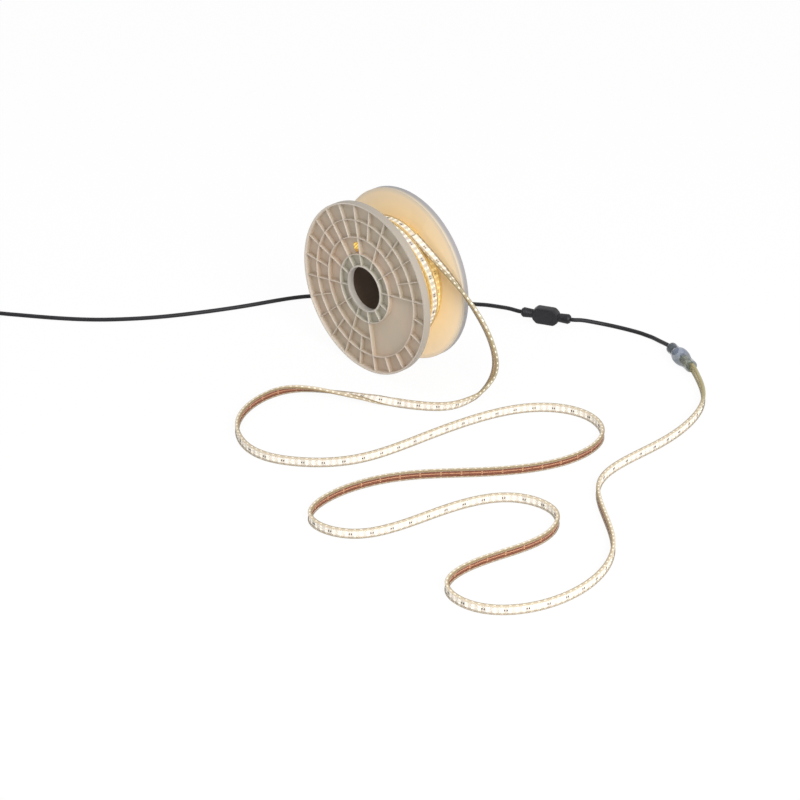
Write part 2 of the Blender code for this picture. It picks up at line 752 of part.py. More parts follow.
def mains_route():
    return [relief_end(-1, gap), relief_end(-1, 0.006), (0.0345, 0.2775, 0.0155), (0.0095, 0.2761, 0.0105),
            (-0.0087, 0.2736, 0.0070), (-0.0238, 0.2680, 0.0052), (-0.0366, 0.2600, 0.0042), (-0.0550, 0.2470, 0.0039),
            (-0.100, 0.2125, 0.0039), (-0.155, 0.1665, 0.0039),
            (-0.215, 0.1110, 0.0039), (-0.262, 0.0660, 0.0039), (-0.290, 0.0180, 0.0039), (-0.313, -0.0400, 0.0039),
            (-0.340, -0.1020, 0.0039), (-0.385, -0.1880, 0.0039), (-0.425, -0.2470, 0.0039), (-0.470, -0.2990, 0.0039),
            (-0.530, -0.3510, 0.0039), (-0.580, -0.3890, 0.0039), coil_start()]


def coil_heading():
    return Vector((-0.792, -0.611, 0)).normalized()


def coil_centre():
    left = Vector((0, 0, 1)).cross(coil_heading())
    return coil_tangent + left * turn_radii[0]


def coil_outer():
    return max(turn_radii) + cord_radius + coil_section_margin


def coil_inner():
    return min(turn_radii) - cord_radius - coil_section_margin


def coil_start():
    """Where the incoming lead meets the outside of the coil."""
    run = math.sqrt(coil_outer() ** 2 - (turn_radii[0] - cord_radius) ** 2) + 2 * gap
    return coil_tangent - coil_heading() * run


def coil_leave():
    """Where the lead leaves the coil on top, going on towards the plug."""
    run = math.sqrt(coil_outer() ** 2 - (turn_radii[2] - cord_radius) ** 2) + 2 * gap
    inward = (coil_centre() - coil_tangent).normalized() * (turn_radii[0] - turn_radii[2])
    place = coil_tangent + inward + coil_heading() * run
    place.z = coil_height - cord_radius - coil_top_drop
    return place


def plug_frame():
    leave = coil_leave()
    start = leave + coil_heading() * plug_run
    start.z = plug_thickness / 2 + floor_gap
    return along(start, start + coil_heading())


def make_coil():
    low = floor_gap + tie_thickness + gap
    outer = coil_outer()
    inner = coil_inner()
    high = low + coil_height
    coil = turned("mains_cord_coil", [
        (outer - coil_bevel, high), (outer, high - coil_bevel), (outer, low + coil_bevel),
        (outer - coil_bevel, low), (inner + coil_bevel, low), (inner, low + coil_bevel),
        (inner, high - coil_bevel), (inner + coil_bevel, high)], spool_sides, black_rubber)
    coil.location = (coil_centre().x, coil_centre().y, 0)

    middle = (outer + inner) / 2
    reach = (outer - inner) / 2 + gap * 2
    tie = add_object("coil_tie", box_mesh("coil_tie", (
        2 * (reach + tie_thickness), tie_width, coil_height + 2 * (gap + tie_thickness))), black_rubber)
    inside = as_cutter(add_object("tie_inside", box_mesh("tie_inside", (
        2 * reach, tie_width * 2, coil_height + 2 * gap)), None, cutters))
    turn = Matrix.Rotation(math.radians(tie_angle), 4, "Z")
    place = Matrix.Translation((coil_centre().x, coil_centre().y, low + coil_height / 2)) @ turn
    for thing in (tie, inside):
        thing.matrix_world = place @ Matrix.Translation((middle, 0, 0))
    combine(tie, inside, "DIFFERENCE")


def make_cords():
    tube("feed_cord", sampled(feed_route(), feed_stations), cord_radius, black_rubber)
    tube("mains_cord", sampled(mains_route(), mains_stations), cord_radius, black_rubber)
    frame = plug_frame()
    leave = coil_leave()
    heading = coil_heading()
    end = frame @ Vector((-gap, 0, 0))
    route = [leave, leave + heading * 0.012, leave + heading * 0.030 - Vector((0, 0, 0.002)),
             frame @ Vector((-0.012, 0, 0.0004)), end]
    tube("mains_cord_tail", sampled(route, 9), cord_radius, black_rubber)


def make_plug():
    frame = plug_frame()
    relief = turned("plug_relief", [
        (0, plug_relief_length), (plug_relief_radius + plug_relief_flare, plug_relief_length),
        (plug_relief_radius, 0), (0, 0)], 20, black_rubber)
    relief.matrix_world = turn_to_x(frame)
    start = plug_relief_length + gap
    end = start + plug_length
    wide = plug_width / 2
    narrow = plug_rear_width / 2
    front = plug_front_width / 2
    corners = [(end, -front), (end, front), (end - plug_front_slope, wide), (end - plug_taper_end, wide),
               (start, narrow), (start, -narrow), (end - plug_taper_end, -wide), (end - plug_front_slope, -wide)]
    body = add_object("plug_body", outline_mesh("plug_body", corners, -plug_thickness / 2, plug_thickness / 2,
                                                plug_edge), black_plastic)
    body.matrix_world = frame
    for name, side in (("plug_pin_left", 1), ("plug_pin_right", -1)):
        socket_mesh = rod_mesh(plug_pin_radius + gap, plug_pin_length, 16)
        socket = as_cutter(add_object(name + "_socket", socket_mesh, None, cutters))
        socket.matrix_world = frame @ Matrix.Translation((end - plug_pin_root, side * pin_pitch / 2, 0))
        combine(body, socket, "DIFFERENCE")
        pin = rod(name, plug_pin_radius, plug_pin_length + plug_pin_root - gap, nickel, 14, plug_pin_radius * 0.5)
        pin.matrix_world = frame @ Matrix.Translation((end - plug_pin_root + gap, side * pin_pitch / 2, 0))


clear_scene()
parts = make_collection("led_rope_light_reel")
cutters = make_collection("cutters")
flange_plastic = make_material("flange plastic", (0.46, 0.41, 0.35), 0.5)
drum_plastic = make_material("drum plastic", (0.46, 0.40, 0.32), 0.55)
strip_plastic = make_material("strip plastic", (0.75, 0.66, 0.45), 0.3)
clear_plastic = make_material("clear plastic", (0.8, 0.75, 0.6), 0.15, 0.0, 0.5)
connector_plastic = make_material("connector plastic", (0.35, 0.38, 0.42), 0.2, 0.0, 0.5)
pin_holder_plastic = make_material("pin holder plastic", (0.30, 0.33, 0.36), 0.4)
brass = make_material("brass", (0.70, 0.52, 0.22), 0.3, 1.0)
black_rubber = make_material("black rubber", (0.02, 0.02, 0.025), 0.5)
black_plastic = make_material("black plastic", (0.022, 0.022, 0.027), 0.4)
board_green = make_material("circuit board", (0.03, 0.16, 0.07), 0.5)
capacitor_sleeve = make_material("capacitor sleeve", (0.02, 0.03, 0.12), 0.4)
fuse_glass = make_material("fuse glass", (0.8, 0.8, 0.78), 0.15)
nickel = make_material("nickel", (0.66, 0.62, 0.55), 0.25, 1.0)

make_flanges()
make_drum()
make_wound_strip()
make_led_strip()
make_tail()
make_connector()
make_rectifier_shells()
make_rectifier_inside()
make_strain_reliefs()
make_coil()
make_cords()
make_plug()
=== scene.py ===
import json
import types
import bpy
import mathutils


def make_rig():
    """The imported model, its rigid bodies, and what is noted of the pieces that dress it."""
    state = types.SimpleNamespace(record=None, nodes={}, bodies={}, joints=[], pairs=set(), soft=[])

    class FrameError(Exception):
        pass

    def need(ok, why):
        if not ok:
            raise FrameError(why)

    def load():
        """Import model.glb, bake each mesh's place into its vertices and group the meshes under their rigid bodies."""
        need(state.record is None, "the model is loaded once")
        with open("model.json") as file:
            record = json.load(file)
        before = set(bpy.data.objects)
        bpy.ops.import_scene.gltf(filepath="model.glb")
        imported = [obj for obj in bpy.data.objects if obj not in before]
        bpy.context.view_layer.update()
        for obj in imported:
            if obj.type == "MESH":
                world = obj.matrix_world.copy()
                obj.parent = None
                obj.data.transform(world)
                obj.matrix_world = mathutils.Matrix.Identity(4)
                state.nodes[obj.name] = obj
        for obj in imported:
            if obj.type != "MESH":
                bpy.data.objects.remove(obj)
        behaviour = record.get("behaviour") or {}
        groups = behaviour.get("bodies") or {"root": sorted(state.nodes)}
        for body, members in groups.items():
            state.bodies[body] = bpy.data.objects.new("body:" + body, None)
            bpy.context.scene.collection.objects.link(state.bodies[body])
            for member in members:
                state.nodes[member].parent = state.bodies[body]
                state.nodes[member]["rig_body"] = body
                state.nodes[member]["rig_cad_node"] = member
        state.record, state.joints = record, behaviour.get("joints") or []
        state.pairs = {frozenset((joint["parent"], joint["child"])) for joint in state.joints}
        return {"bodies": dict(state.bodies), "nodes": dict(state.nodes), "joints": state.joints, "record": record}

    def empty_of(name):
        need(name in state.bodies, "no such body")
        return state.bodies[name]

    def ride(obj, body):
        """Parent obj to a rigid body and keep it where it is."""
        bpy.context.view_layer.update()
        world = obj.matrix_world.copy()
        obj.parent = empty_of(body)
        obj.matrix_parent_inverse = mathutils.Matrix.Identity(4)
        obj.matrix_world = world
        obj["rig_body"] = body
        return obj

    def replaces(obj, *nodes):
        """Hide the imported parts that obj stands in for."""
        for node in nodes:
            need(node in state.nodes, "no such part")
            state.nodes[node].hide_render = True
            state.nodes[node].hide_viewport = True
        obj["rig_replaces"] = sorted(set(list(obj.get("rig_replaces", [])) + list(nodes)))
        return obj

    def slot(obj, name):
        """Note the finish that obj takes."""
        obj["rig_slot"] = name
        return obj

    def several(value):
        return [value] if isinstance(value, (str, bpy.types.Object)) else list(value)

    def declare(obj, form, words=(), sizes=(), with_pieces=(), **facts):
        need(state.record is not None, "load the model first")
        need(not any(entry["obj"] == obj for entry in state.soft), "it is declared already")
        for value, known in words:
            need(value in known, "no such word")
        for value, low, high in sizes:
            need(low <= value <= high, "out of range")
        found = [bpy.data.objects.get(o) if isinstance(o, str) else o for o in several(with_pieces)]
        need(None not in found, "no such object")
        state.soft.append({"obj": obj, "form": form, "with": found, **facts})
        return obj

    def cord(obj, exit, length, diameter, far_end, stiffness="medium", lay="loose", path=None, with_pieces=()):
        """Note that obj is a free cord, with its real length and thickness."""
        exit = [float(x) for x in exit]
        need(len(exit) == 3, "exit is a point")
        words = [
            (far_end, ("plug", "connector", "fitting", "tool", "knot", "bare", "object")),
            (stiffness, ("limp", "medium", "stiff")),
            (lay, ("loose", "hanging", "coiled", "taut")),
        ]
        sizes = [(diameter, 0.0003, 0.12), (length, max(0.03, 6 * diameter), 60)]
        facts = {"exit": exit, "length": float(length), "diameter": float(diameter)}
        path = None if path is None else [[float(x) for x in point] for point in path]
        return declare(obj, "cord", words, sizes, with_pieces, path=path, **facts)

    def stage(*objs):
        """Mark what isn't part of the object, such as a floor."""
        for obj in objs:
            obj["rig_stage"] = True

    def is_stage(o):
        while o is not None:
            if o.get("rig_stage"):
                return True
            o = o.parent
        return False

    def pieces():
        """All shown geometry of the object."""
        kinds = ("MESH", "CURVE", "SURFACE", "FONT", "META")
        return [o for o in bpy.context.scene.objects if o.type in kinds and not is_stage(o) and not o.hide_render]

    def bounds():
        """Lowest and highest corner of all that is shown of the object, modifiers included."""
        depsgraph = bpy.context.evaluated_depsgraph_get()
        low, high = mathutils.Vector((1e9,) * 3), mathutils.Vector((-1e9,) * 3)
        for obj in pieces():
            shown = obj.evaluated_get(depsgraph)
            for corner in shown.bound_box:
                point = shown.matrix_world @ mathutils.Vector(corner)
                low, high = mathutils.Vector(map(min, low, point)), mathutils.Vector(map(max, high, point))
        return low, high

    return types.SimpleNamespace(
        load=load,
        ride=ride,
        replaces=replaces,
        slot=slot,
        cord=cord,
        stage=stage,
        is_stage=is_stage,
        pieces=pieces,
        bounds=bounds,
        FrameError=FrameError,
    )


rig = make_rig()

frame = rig.load()

import json
import math

import bmesh
import bpy
import numpy as np
from mathutils import Matrix, Vector

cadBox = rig.bounds()


# shader maths: a socket that adds its own Math nodes
class Wire:
    def __init__(self, tree, socket):
        self.tree = tree
        self.socket = socket

    def math(self, operation, *others):
        node = self.tree.nodes.new("ShaderNodeMath")
        node.operation = operation
        for slot, value in zip(node.inputs, (self, *others)):
            if isinstance(value, Wire):
                self.tree.links.new(value.socket, slot)
            else:
                slot.default_value = value
        return Wire(self.tree, node.outputs[0])

    def __add__(self, other):
        return self.math("ADD", other)

    def __radd__(self, other):
        return self.math("ADD", other)

    def __sub__(self, other):
        return self.math("SUBTRACT", other)

    def __rsub__(self, other):
        return self.math("MULTIPLY", -1.0).math("ADD", other)

    def __mul__(self, other):
        return self.math("MULTIPLY", other)

    def __rmul__(self, other):
        return self.math("MULTIPLY", other)

    def __truediv__(self, other):
        return self.math("DIVIDE", other)

    def __abs__(self):
        return self.math("ABSOLUTE")

    def __mod__(self, other):
        return self.math("FLOORED_MODULO", other)

    def over(self, edge):
        return self.math("GREATER_THAN", edge)

    def under(self, edge):
        return self.math("LESS_THAN", edge)

    def ramp(self, low, high):  # 0 at low, 1 at high, eased between
        node = self.tree.nodes.new("ShaderNodeMapRange")
        node.interpolation_type = "SMOOTHSTEP"
        self.tree.links.new(self.socket, node.inputs["Value"])
        node.inputs["From Min"].default_value = low
        node.inputs["From Max"].default_value = high
        return Wire(self.tree, node.outputs[0])


# one finish: a Principled shader and the nodes that feed it
class Finish:
    def __init__(self, name):
        self.material = bpy.data.materials.new(name)
        self.material.use_nodes = True
        self.tree = self.material.node_tree
        self.shader = self.tree.nodes["Principled BSDF"]

    def add(self, kind, settings=None, inputs=None, output=0):
        node = self.tree.nodes.new(kind)
        for key, value in (settings or {}).items():
            setattr(node, key, value)
        for key, value in (inputs or {}).items():
            self.feed(node.inputs[key], value)
        return Wire(self.tree, node.outputs[output])

    def feed(self, socket, value):
        if isinstance(value, Wire):
            self.tree.links.new(value.socket, socket)
        elif isinstance(value, tuple) and len(value) == 3 and socket.type == "RGBA":
            socket.default_value = (*value, 1.0)
        else:
            socket.default_value = value

    def put(self, **values):
        for key, value in values.items():
            name = " ".join(word.capitalize() for word in key.split("_")).replace("I O R", "IOR")
            self.feed(self.shader.inputs[name], value)
        return self.material

    def split(self, wire):
        node = self.tree.nodes.new("ShaderNodeSeparateXYZ")
        self.tree.links.new(wire.socket, node.inputs[0])
        return [Wire(self.tree, socket) for socket in node.outputs]

    def place(self):  # object coordinates
        return self.add("ShaderNodeTexCoord", output=3)

    def mapNamed(self, name):
        return self.split(self.add("ShaderNodeUVMap", {"uv_map": name}))

    def mix(self, share, first, second):
        return self.add("ShaderNodeMix", {"data_type": "RGBA"}, {0: share, 6: first, 7: second}, 2)

    def noise(self, scale, detail=2.0, roughness=0.5, vector=None):
        return self.add("ShaderNodeTexNoise", {}, {"Vector": vector or self.place(), "Scale": scale,
                                                   "Detail": detail, "Roughness": roughness})

    def bump(self, height, strength, distance):
        return self.add("ShaderNodeBump", {}, {"Height": height, "Strength": strength, "Distance": distance})


def srgb(*levels):  # screen levels 0 to 255 as linear light
    return tuple((c / 255 / 12.92) if c <= 10 else ((c / 255 + 0.055) / 1.055) ** 2.4 for c in levels)


# mesh helpers
def looseObject(bm, name):
    mesh = bpy.data.meshes.new(name)
    bm.to_mesh(mesh)
    bm.free()
    return placeMesh(mesh, name)


def placeMesh(mesh, name):
    piece = bpy.data.objects.new(name, mesh)
    bpy.context.scene.collection.objects.link(piece)
    return piece


def keepMesh(bm, name, material, slotName, smoothAngle=35.0):
    bmesh.ops.recalc_face_normals(bm, faces=bm.faces)
    return dress(looseObject(bm, name), material, slotName, smoothAngle)


def dress(piece, material, slotName, smoothAngle=35.0):
    piece.data.materials.clear()
    piece.data.materials.append(material)
    piece.data.shade_smooth()
    piece.data.set_sharp_from_angle(angle=math.radians(smoothAngle))
    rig.ride(piece, "root")
    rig.slot(piece, slotName)
    return piece


def spinProfile(bm, corners, steps, matrix=None):  # corners are (radius, height), closed, turned about Z
    made = [bm.verts.new((radius, 0, height)) for radius, height in corners]
    edges = [bm.edges.new((a, b)) for a, b in zip(made, made[1:] + made[:1])]
    bmesh.ops.spin(bm, geom=made + edges, axis=(0, 0, 1), cent=(0, 0, 0), steps=steps,
                   angle=2 * math.pi, use_merge=True)
    bmesh.ops.remove_doubles(bm, verts=bm.verts, dist=1e-6)
    bmesh.ops.recalc_face_normals(bm, faces=bm.faces)
    if matrix:
        bmesh.ops.transform(bm, matrix=matrix, verts=bm.verts)


def rounded(corners, radius, steps=3):  # replaces each corner of a closed outline by a small arc
    result = []
    count = len(corners)
    for k, here in enumerate(corners):
        here = Vector(here)
        before = Vector(corners[k - 1]) - here
        after = Vector(corners[(k + 1) % count]) - here
        size = min(radius, before.length * 0.45, after.length * 0.45)
        first = here + before.normalized() * size
        last = here + after.normalized() * size
        for j in range(steps + 1):
            t = j / steps
            result.append((first * (1 - t) ** 2 + here * 2 * t * (1 - t) + last * t * t)[:])
    return result


def applied(piece, *modifiers):  # bakes modifiers into the mesh and takes them off
    for kind, settings in modifiers:
        modifier = piece.modifiers.new(kind.lower(), kind)
        for key, value in settings.items():
            setattr(modifier, key, value)
    graph = bpy.context.evaluated_depsgraph_get()
    mesh = bpy.data.meshes.new_from_object(piece.evaluated_get(graph))
    piece.modifiers.clear()
    piece.data = mesh
    return piece


def bevel(bm, edges, offset, segments, profile=0.5):
    return bmesh.ops.bevel(bm, geom=edges, offset=offset, segments=segments, profile=profile, affect="EDGES",
                           material=-1)


def sweep(bm, stations, outline):  # wraps a grid round the run: (across, face) pairs at each station
    runMap = bm.loops.layers.uv.get("run") or bm.loops.layers.uv.new("run")
    sideMap = bm.loops.layers.uv.get("side") or bm.loops.layers.uv.new("side")
    rows = len(stations)
    columns = len(outline) + 1
    before = set(bm.verts)
    bmesh.ops.create_grid(bm, x_segments=rows - 1, y_segments=columns - 1, size=0.5)
    grid = [v for v in bm.verts if v not in before]
    spot = {}
    for v in grid:
        row = round((v.co.x + 0.5) * (rows - 1))
        column = round((v.co.y + 0.5) * (columns - 1))
        spot[v] = (row, column)
    travelled = [0.0]
    for (a, *_), (b, *_) in zip(stations, stations[1:]):
        travelled.append(travelled[-1] + (b - a).length)
    faces = {f for v in grid for f in v.link_faces}
    for f in faces:
        for loop in f.loops:
            row, column = spot[loop.vert]
            across, depth = outline[column % len(outline)]
            loop[runMap].uv = (travelled[row], across)
            loop[sideMap].uv = (column / len(outline), depth)
    for v, (row, column) in spot.items():
        centre, acrossWay, faceWay = stations[row]
        across, depth = outline[column % len(outline)]
        v.co = centre + acrossWay * across + faceWay * depth
    bmesh.ops.remove_doubles(bm, verts=grid, dist=1e-6)
    bmesh.ops.holes_fill(bm, edges=[e for e in bm.edges if e.is_boundary], sides=0)
    return travelled


def stationsLength(stations):
    return sum((b[0] - a[0]).length for a, b in zip(stations, stations[1:]))


def splineThrough(points):  # natural cubic spline, read at a fractional point number
    route = np.array(points, dtype=float)
    knots = np.concatenate([[0.0], np.cumsum(np.linalg.norm(np.diff(route, axis=0), axis=1) ** 0.5)])
    step = np.diff(knots)
    count = len(route)
    system = np.eye(count)
    bend = np.zeros_like(route)
    for k in range(1, count - 1):
        system[k, k - 1:k + 2] = step[k - 1], 2 * (step[k - 1] + step[k]), step[k]
        bend[k] = 6 * ((route[k + 1] - route[k]) / step[k] - (route[k] - route[k - 1]) / step[k - 1])
    second = np.linalg.solve(system, bend)

    def place(number):
        k = min(int(number), count - 2)
        h = step[k]
        right = (number - k) * h
        left = h - right
        return Vector(second[k] * left ** 3 / (6 * h) + second[k + 1] * right ** 3 / (6 * h)
                      + (route[k] / h - second[k] * h / 6) * left
                      + (route[k + 1] / h - second[k + 1] * h / 6) * right)

    return place


# camera, from the two rims of the spool in the photograph
camera = {"azimuth": 47.35, "elevation": 29.56, "distance": 4.11, "target": (0.0383, 0.0, -0.0667),
          "lens": 104.8}


def makeCamera():
    turn = math.radians(camera["azimuth"])
    rise = math.radians(camera["elevation"])
    back = Vector((math.sin(turn) * math.cos(rise), -math.cos(turn) * math.cos(rise), math.sin(rise)))
    data = bpy.data.cameras.new("camera")
    data.lens = camera["lens"]
    data.clip_end = 50
    eye = bpy.data.objects.new("camera", data)
    eye.location = Vector(camera["target"]) + back * camera["distance"]
    eye.rotation_euler = (math.pi / 2 - rise, 0, turn)
    bpy.context.scene.collection.objects.link(eye)
    bpy.context.scene.camera = eye


makeCamera()
print("camera ready")


# the light strip: its section, its route on the floor and its place on the winding
strip = {"width": 0.015, "thickness": 0.007, "corner": 0.0016, "group": 1 / 30, "floorGap": 0.0002,
         "boardWidth": 0.0122, "boardThickness": 0.0022, "boardDepth": -0.0002,
         "chip": (0.0031, 0.0026, 0.0008), "chipRows": (-0.0029, 0.0029),
         "resistor": (0.0015, 0.0028, 0.0006), "resistorGap": 0.0018, "resistorRows": (0.0004,),
         "lights": (0.19, 0.5, 0.81), "station": 0.0035, "sideAlpha": 0.9,
         "bareStart": 0.004, "bareEnd": 0.014}
spool = {"radius": 0.155, "width": 0.102, "flange": 0.0135, "drum": 0.062, "gap": 0.0003}
connector = {"front": Vector((0.4025, 0.3534, 0.0153)), "rear": Vector((0.3304, 0.3813, 0.0153)),
             "bury": 0.013}
connectorWay = (connector["rear"] - connector["front"]).normalized()
stripRoute = [
    (0.0513, 0.0205, 0.2514), (0.140, 0.0265, 0.1995), (0.201, 0.0375, 0.139), (0.223, 0.047, 0.084),
    (0.215, 0.053, 0.034), (0.214, 0.021, 0.0095), (0.209, -0.038, 0.0078), (0.156, -0.089, 0.0081),
    (0.091, -0.127, 0.0093), (0.038, -0.157, 0.0096), (-0.023, -0.213, 0.0090), (-0.001, -0.330, 0.0079),
    (0.092, -0.380, 0.0077), (0.167, -0.352, 0.0077), (0.230, -0.273, 0.0077), (0.255, -0.125, 0.0077),
    (0.300, 0.050, 0.0077), (0.382, 0.106, 0.0077), (0.450, 0.076, 0.0077), (0.465, -0.021, 0.0077),
    (0.405, -0.141, 0.0077), (0.320, -0.254, 0.0077), (0.287, -0.372, 0.0077), (0.317, -0.446, 0.0077),
    (0.397, -0.422, 0.0077), (0.439, -0.274, 0.0077), (0.488, -0.168, 0.0077), (0.563, -0.153, 0.0077),
    (0.601, -0.217, 0.0077), (0.582, -0.336, 0.0077), (0.596, -0.419, 0.0077), (0.667, -0.423, 0.0077),
    (0.733, -0.324, 0.0077), (0.693, -0.160, 0.0077), (0.550, -0.038, 0.0077), (0.531, 0.132, 0.0077),
    (0.490, 0.282, 0.0080), (0.433, 0.335, 0.0130), tuple(connector["front"]),
    tuple(connector["front"] + connectorWay * connector["bury"])]
# how the strip turns about its own line, by point number of the route
lay = {"landing": 5.0, "blend": 1.5, "lift": 0.6,
       "twist": ((7.1, 0.0), (8.0, 90.0), (9.0, 120.0), (9.65, 147.0), (10.15, 180.0)),
       "sway": -68.0, "swayFull": 1.9, "swayHold": 3.2, "swayDone": 7.4}


def ease(share):  # 0 to 1, slow at both ends
    share = min(max(share, 0.0), 1.0)
    return share * share * (3 - 2 * share)


def evenNumbers(place, last, step, fineness):  # point numbers at equal steps along a spline
    fine = [last * k / fineness for k in range(fineness + 1)]
    points = [place(number) for number in fine]
    run = [0.0]
    for a, b in zip(points, points[1:]):
        run.append(run[-1] + (b - a).length)
    return np.interp(np.linspace(0, run[-1], round(run[-1] / step) + 1), run, fine)


def freeStations():
    place = splineThrough(stripRoute)
    last = len(stripRoute) - 1
    step = 0.02
    stations = []
    for number in evenNumbers(place, last, strip["station"], 4000):
        centre = place(number)
        travel = (place(min(number + step, last)) - place(max(number - step, 0))).normalized()
        left = Vector((-travel.y, travel.x, 0))
        if number < lay["landing"] or left.length < 0.1:
            face = Vector((1, 0, lay["lift"] * max(0.0, 1 - number / lay["landing"])))
        else:
            angle = math.radians(float(np.interp(number, *zip(*lay["twist"]))))
            face = left.normalized() * math.cos(angle) + Vector((0, 0, 1)) * math.sin(angle)
            face = Vector((1, 0, 0)).lerp(face, min((number - lay["landing"]) / lay["blend"], 1.0))
        face = (face - travel * face.dot(travel)).normalized()
        back = ease((number - lay["swayHold"]) / (lay["swayDone"] - lay["swayHold"]))
        sway = lay["sway"] * ease(number / lay["swayFull"]) * (1 - back)
        face = Matrix.Rotation(math.radians(sway), 3, travel) @ face
        across = travel.cross(face)
        reach = abs(across.z) * strip["width"] / 2 + abs(face.z) * strip["thickness"] / 2
        centre.z = max(centre.z, reach + strip["floorGap"])
        stations.append((centre, across, face))
    return stations


# black cords
cord = {"radius": 0.00375, "rest": 0.00395, "sides": 20, "step": 0.004}
box = {"centre": Vector((0.0967, 0.3054, 0.01595)), "heading": 27.9, "length": 0.049, "width": 0.0315,
       "depth": 0.0185, "chamfer": 0.0082, "corner": 0.0034, "edge": 0.0036, "ridge": 0.0115,
       "ridgeHeight": 0.00065, "ridgeReach": 52.0, "ridgeAt": 0.0035}  # stands on its long edge
relief = {"length": 0.0214, "root": 0.0080, "wide": 0.0091, "tip": 0.0066, "rings": 6, "ringShare": 0.80,
          "ringHalf": 0.0005, "cut": 0.00035, "shoulder": 0.82, "nose": 0.995, "seat": 0.0003}
coil = {"tangent": Vector((-0.6389, -0.4354, 0.00395)), "heading": Vector((-0.792, -0.611, 0)).normalized(),
        "turns": (0.045, 0.0375, 0.0412), "level": 0.00505, "stack": 0.0066, "pointsPerTurn": 24}
plug = {"run": 0.062, "thickness": 0.0137}


def boxFrame():
    turn = Matrix.Rotation(math.radians(box["heading"]), 4, "Z") @ Matrix.Rotation(math.pi / 2, 4, "X")
    return Matrix.Translation(box["centre"]) @ turn


def along(start, end):
    x = (end - start).normalized()
    y = Vector((0, 0, 1)).cross(x).normalized()
    return Matrix.Translation(start) @ Matrix((x, y, x.cross(y))).transposed().to_4x4()


def reliefEnd(side, extra=0.0):
    return boxFrame() @ Vector((side * (box["length"] / 2 + relief["length"] + extra), 0, 0))


def feedRoute():
    rear = connector["rear"]
    return [rear - connectorWay * 0.0129, rear - connectorWay * 0.008, rear - connectorWay * 0.004,
            rear + connectorWay * 0.002, (0.3081, 0.3890, 0.0117), (0.2892, 0.3944, 0.0082),
            (0.2715, 0.3985, 0.0057), (0.2569, 0.3988, 0.0045), (0.2434, 0.3977, 0.0040),
            (0.2202, 0.3914, 0.0040), (0.1980, 0.3835, 0.0042), (0.1789, 0.3724, 0.0060),
            (0.1638, 0.3567, 0.0105), (0.1501, 0.3395, 0.0150), reliefEnd(1, 0.006), reliefEnd(1, 0.0003)]


def coilSpots():
    centre = coil["tangent"] + Vector((0, 0, 1)).cross(coil["heading"]) * coil["turns"][0]
    outward = (coil["tangent"] - centre).normalized()
    outer, inner, top = coil["turns"]
    spots = []
    for k in range(3 * coil["pointsPerTurn"] + 1):
        turned = 360.0 * k / coil["pointsPerTurn"]
        radius = outer + (inner - outer) * ease((turned - 270) / 90)
        radius += (top - inner) * ease((turned - 640) / 80)
        level = coil["level"] + coil["stack"] * ease((turned - 630) / 90)
        arm = Matrix.Rotation(math.radians(turned), 3, "Z") @ outward
        spot = centre + arm * radius
        spots.append((spot.x, spot.y, level))
    return spots


def plugFrame():
    outer, inner, top = coil["turns"]
    outside = max(coil["turns"]) + cord["radius"] + 0.0004
    run = math.sqrt(outside ** 2 - (top - cord["radius"]) ** 2) + 2 * spool["gap"]
    inward = Vector((0, 0, 1)).cross(coil["heading"]) * (outer - top)
    start = coil["tangent"] + inward + coil["heading"] * (run + plug["run"])
    start.z = plug["thickness"] / 2 + strip["floorGap"]
    return along(start, start + coil["heading"])


def mainsRoute():
    spots = coilSpots()
    leave = Vector(spots[-1])
    heading = coil["heading"]
    over = leave + heading * 0.018 + Vector((0, 0, 0.0012))
    seen = [reliefEnd(-1, 0.0003), reliefEnd(-1, 0.006), (0.0345, 0.2775, 0.0155), (0.0095, 0.2761, 0.0105),
            (-0.0087, 0.2736, 0.0070), (-0.0238, 0.2680, 0.0052), (-0.0366, 0.2600, 0.0042),
            (-0.0550, 0.2470, 0.0039), (-0.100, 0.2125, 0.0039), (-0.155, 0.1665, 0.0039),
            (-0.215, 0.1110, 0.0039), (-0.262, 0.0660, 0.0039), (-0.290, 0.0180, 0.0039),
            (-0.313, -0.0400, 0.0039), (-0.340, -0.1020, 0.0039), (-0.385, -0.1880, 0.0039),
            (-0.425, -0.2470, 0.0039), (-0.470, -0.2990, 0.0039), (-0.530, -0.3510, 0.0039),
            (-0.580, -0.3890, 0.0039)]
    away = [over, leave + heading * 0.044 - Vector((0, 0, 0.0002)),
            leave + heading * 0.066 - Vector((0, 0, 0.0030)),
            plugFrame() @ Vector((-0.012, 0, 0.0002)), plugFrame() @ Vector((-0.0003, 0, 0))]
    return seen + spots + away


def roundStations(route, step):  # a round cord's centres with a steady frame
    place = splineThrough(route)
    centres = [place(number) for number in evenNumbers(place, len(route) - 1, step, 6000)]
    count = len(centres) - 1
    for centre in centres:
        centre.z = max(centre.z, cord["rest"])
    stations = []
    for k, centre in enumerate(centres):
        travel = (centres[min(k + 1, count)] - centres[max(k - 1, 0)]).normalized()
        across = Vector((0, 0, 1)).cross(travel).normalized()
        stations.append((centre, across, travel.cross(across)))
    return stations


def circle(radius, sides):
    return [(radius * math.cos(2 * math.pi * k / sides), radius * math.sin(2 * math.pi * k / sides))
            for k in range(sides)]


def cordMaterial():
    f = Finish("cordRubber")
    grain = f.noise(900.0, 2.0)
    wear = f.noise(40.0, 3.0)
    colour = f.mix(wear.ramp(0.35, 0.75), srgb(20, 20, 24), srgb(29, 29, 34))
    return f.put(base_color=colour, roughness=wear * 0.12 + 0.42, specular_i_o_r_level=0.3,
                 normal=f.bump(grain, 0.12, 0.0004))


cordRubber = cordMaterial()


def makeCord(name, route):
    stations = roundStations(route, cord["step"])
    bm = bmesh.new()
    sweep(bm, stations, circle(cord["radius"], cord["sides"]))
    return keepMesh(bm, name, cordRubber, "cord", 50.0), stations


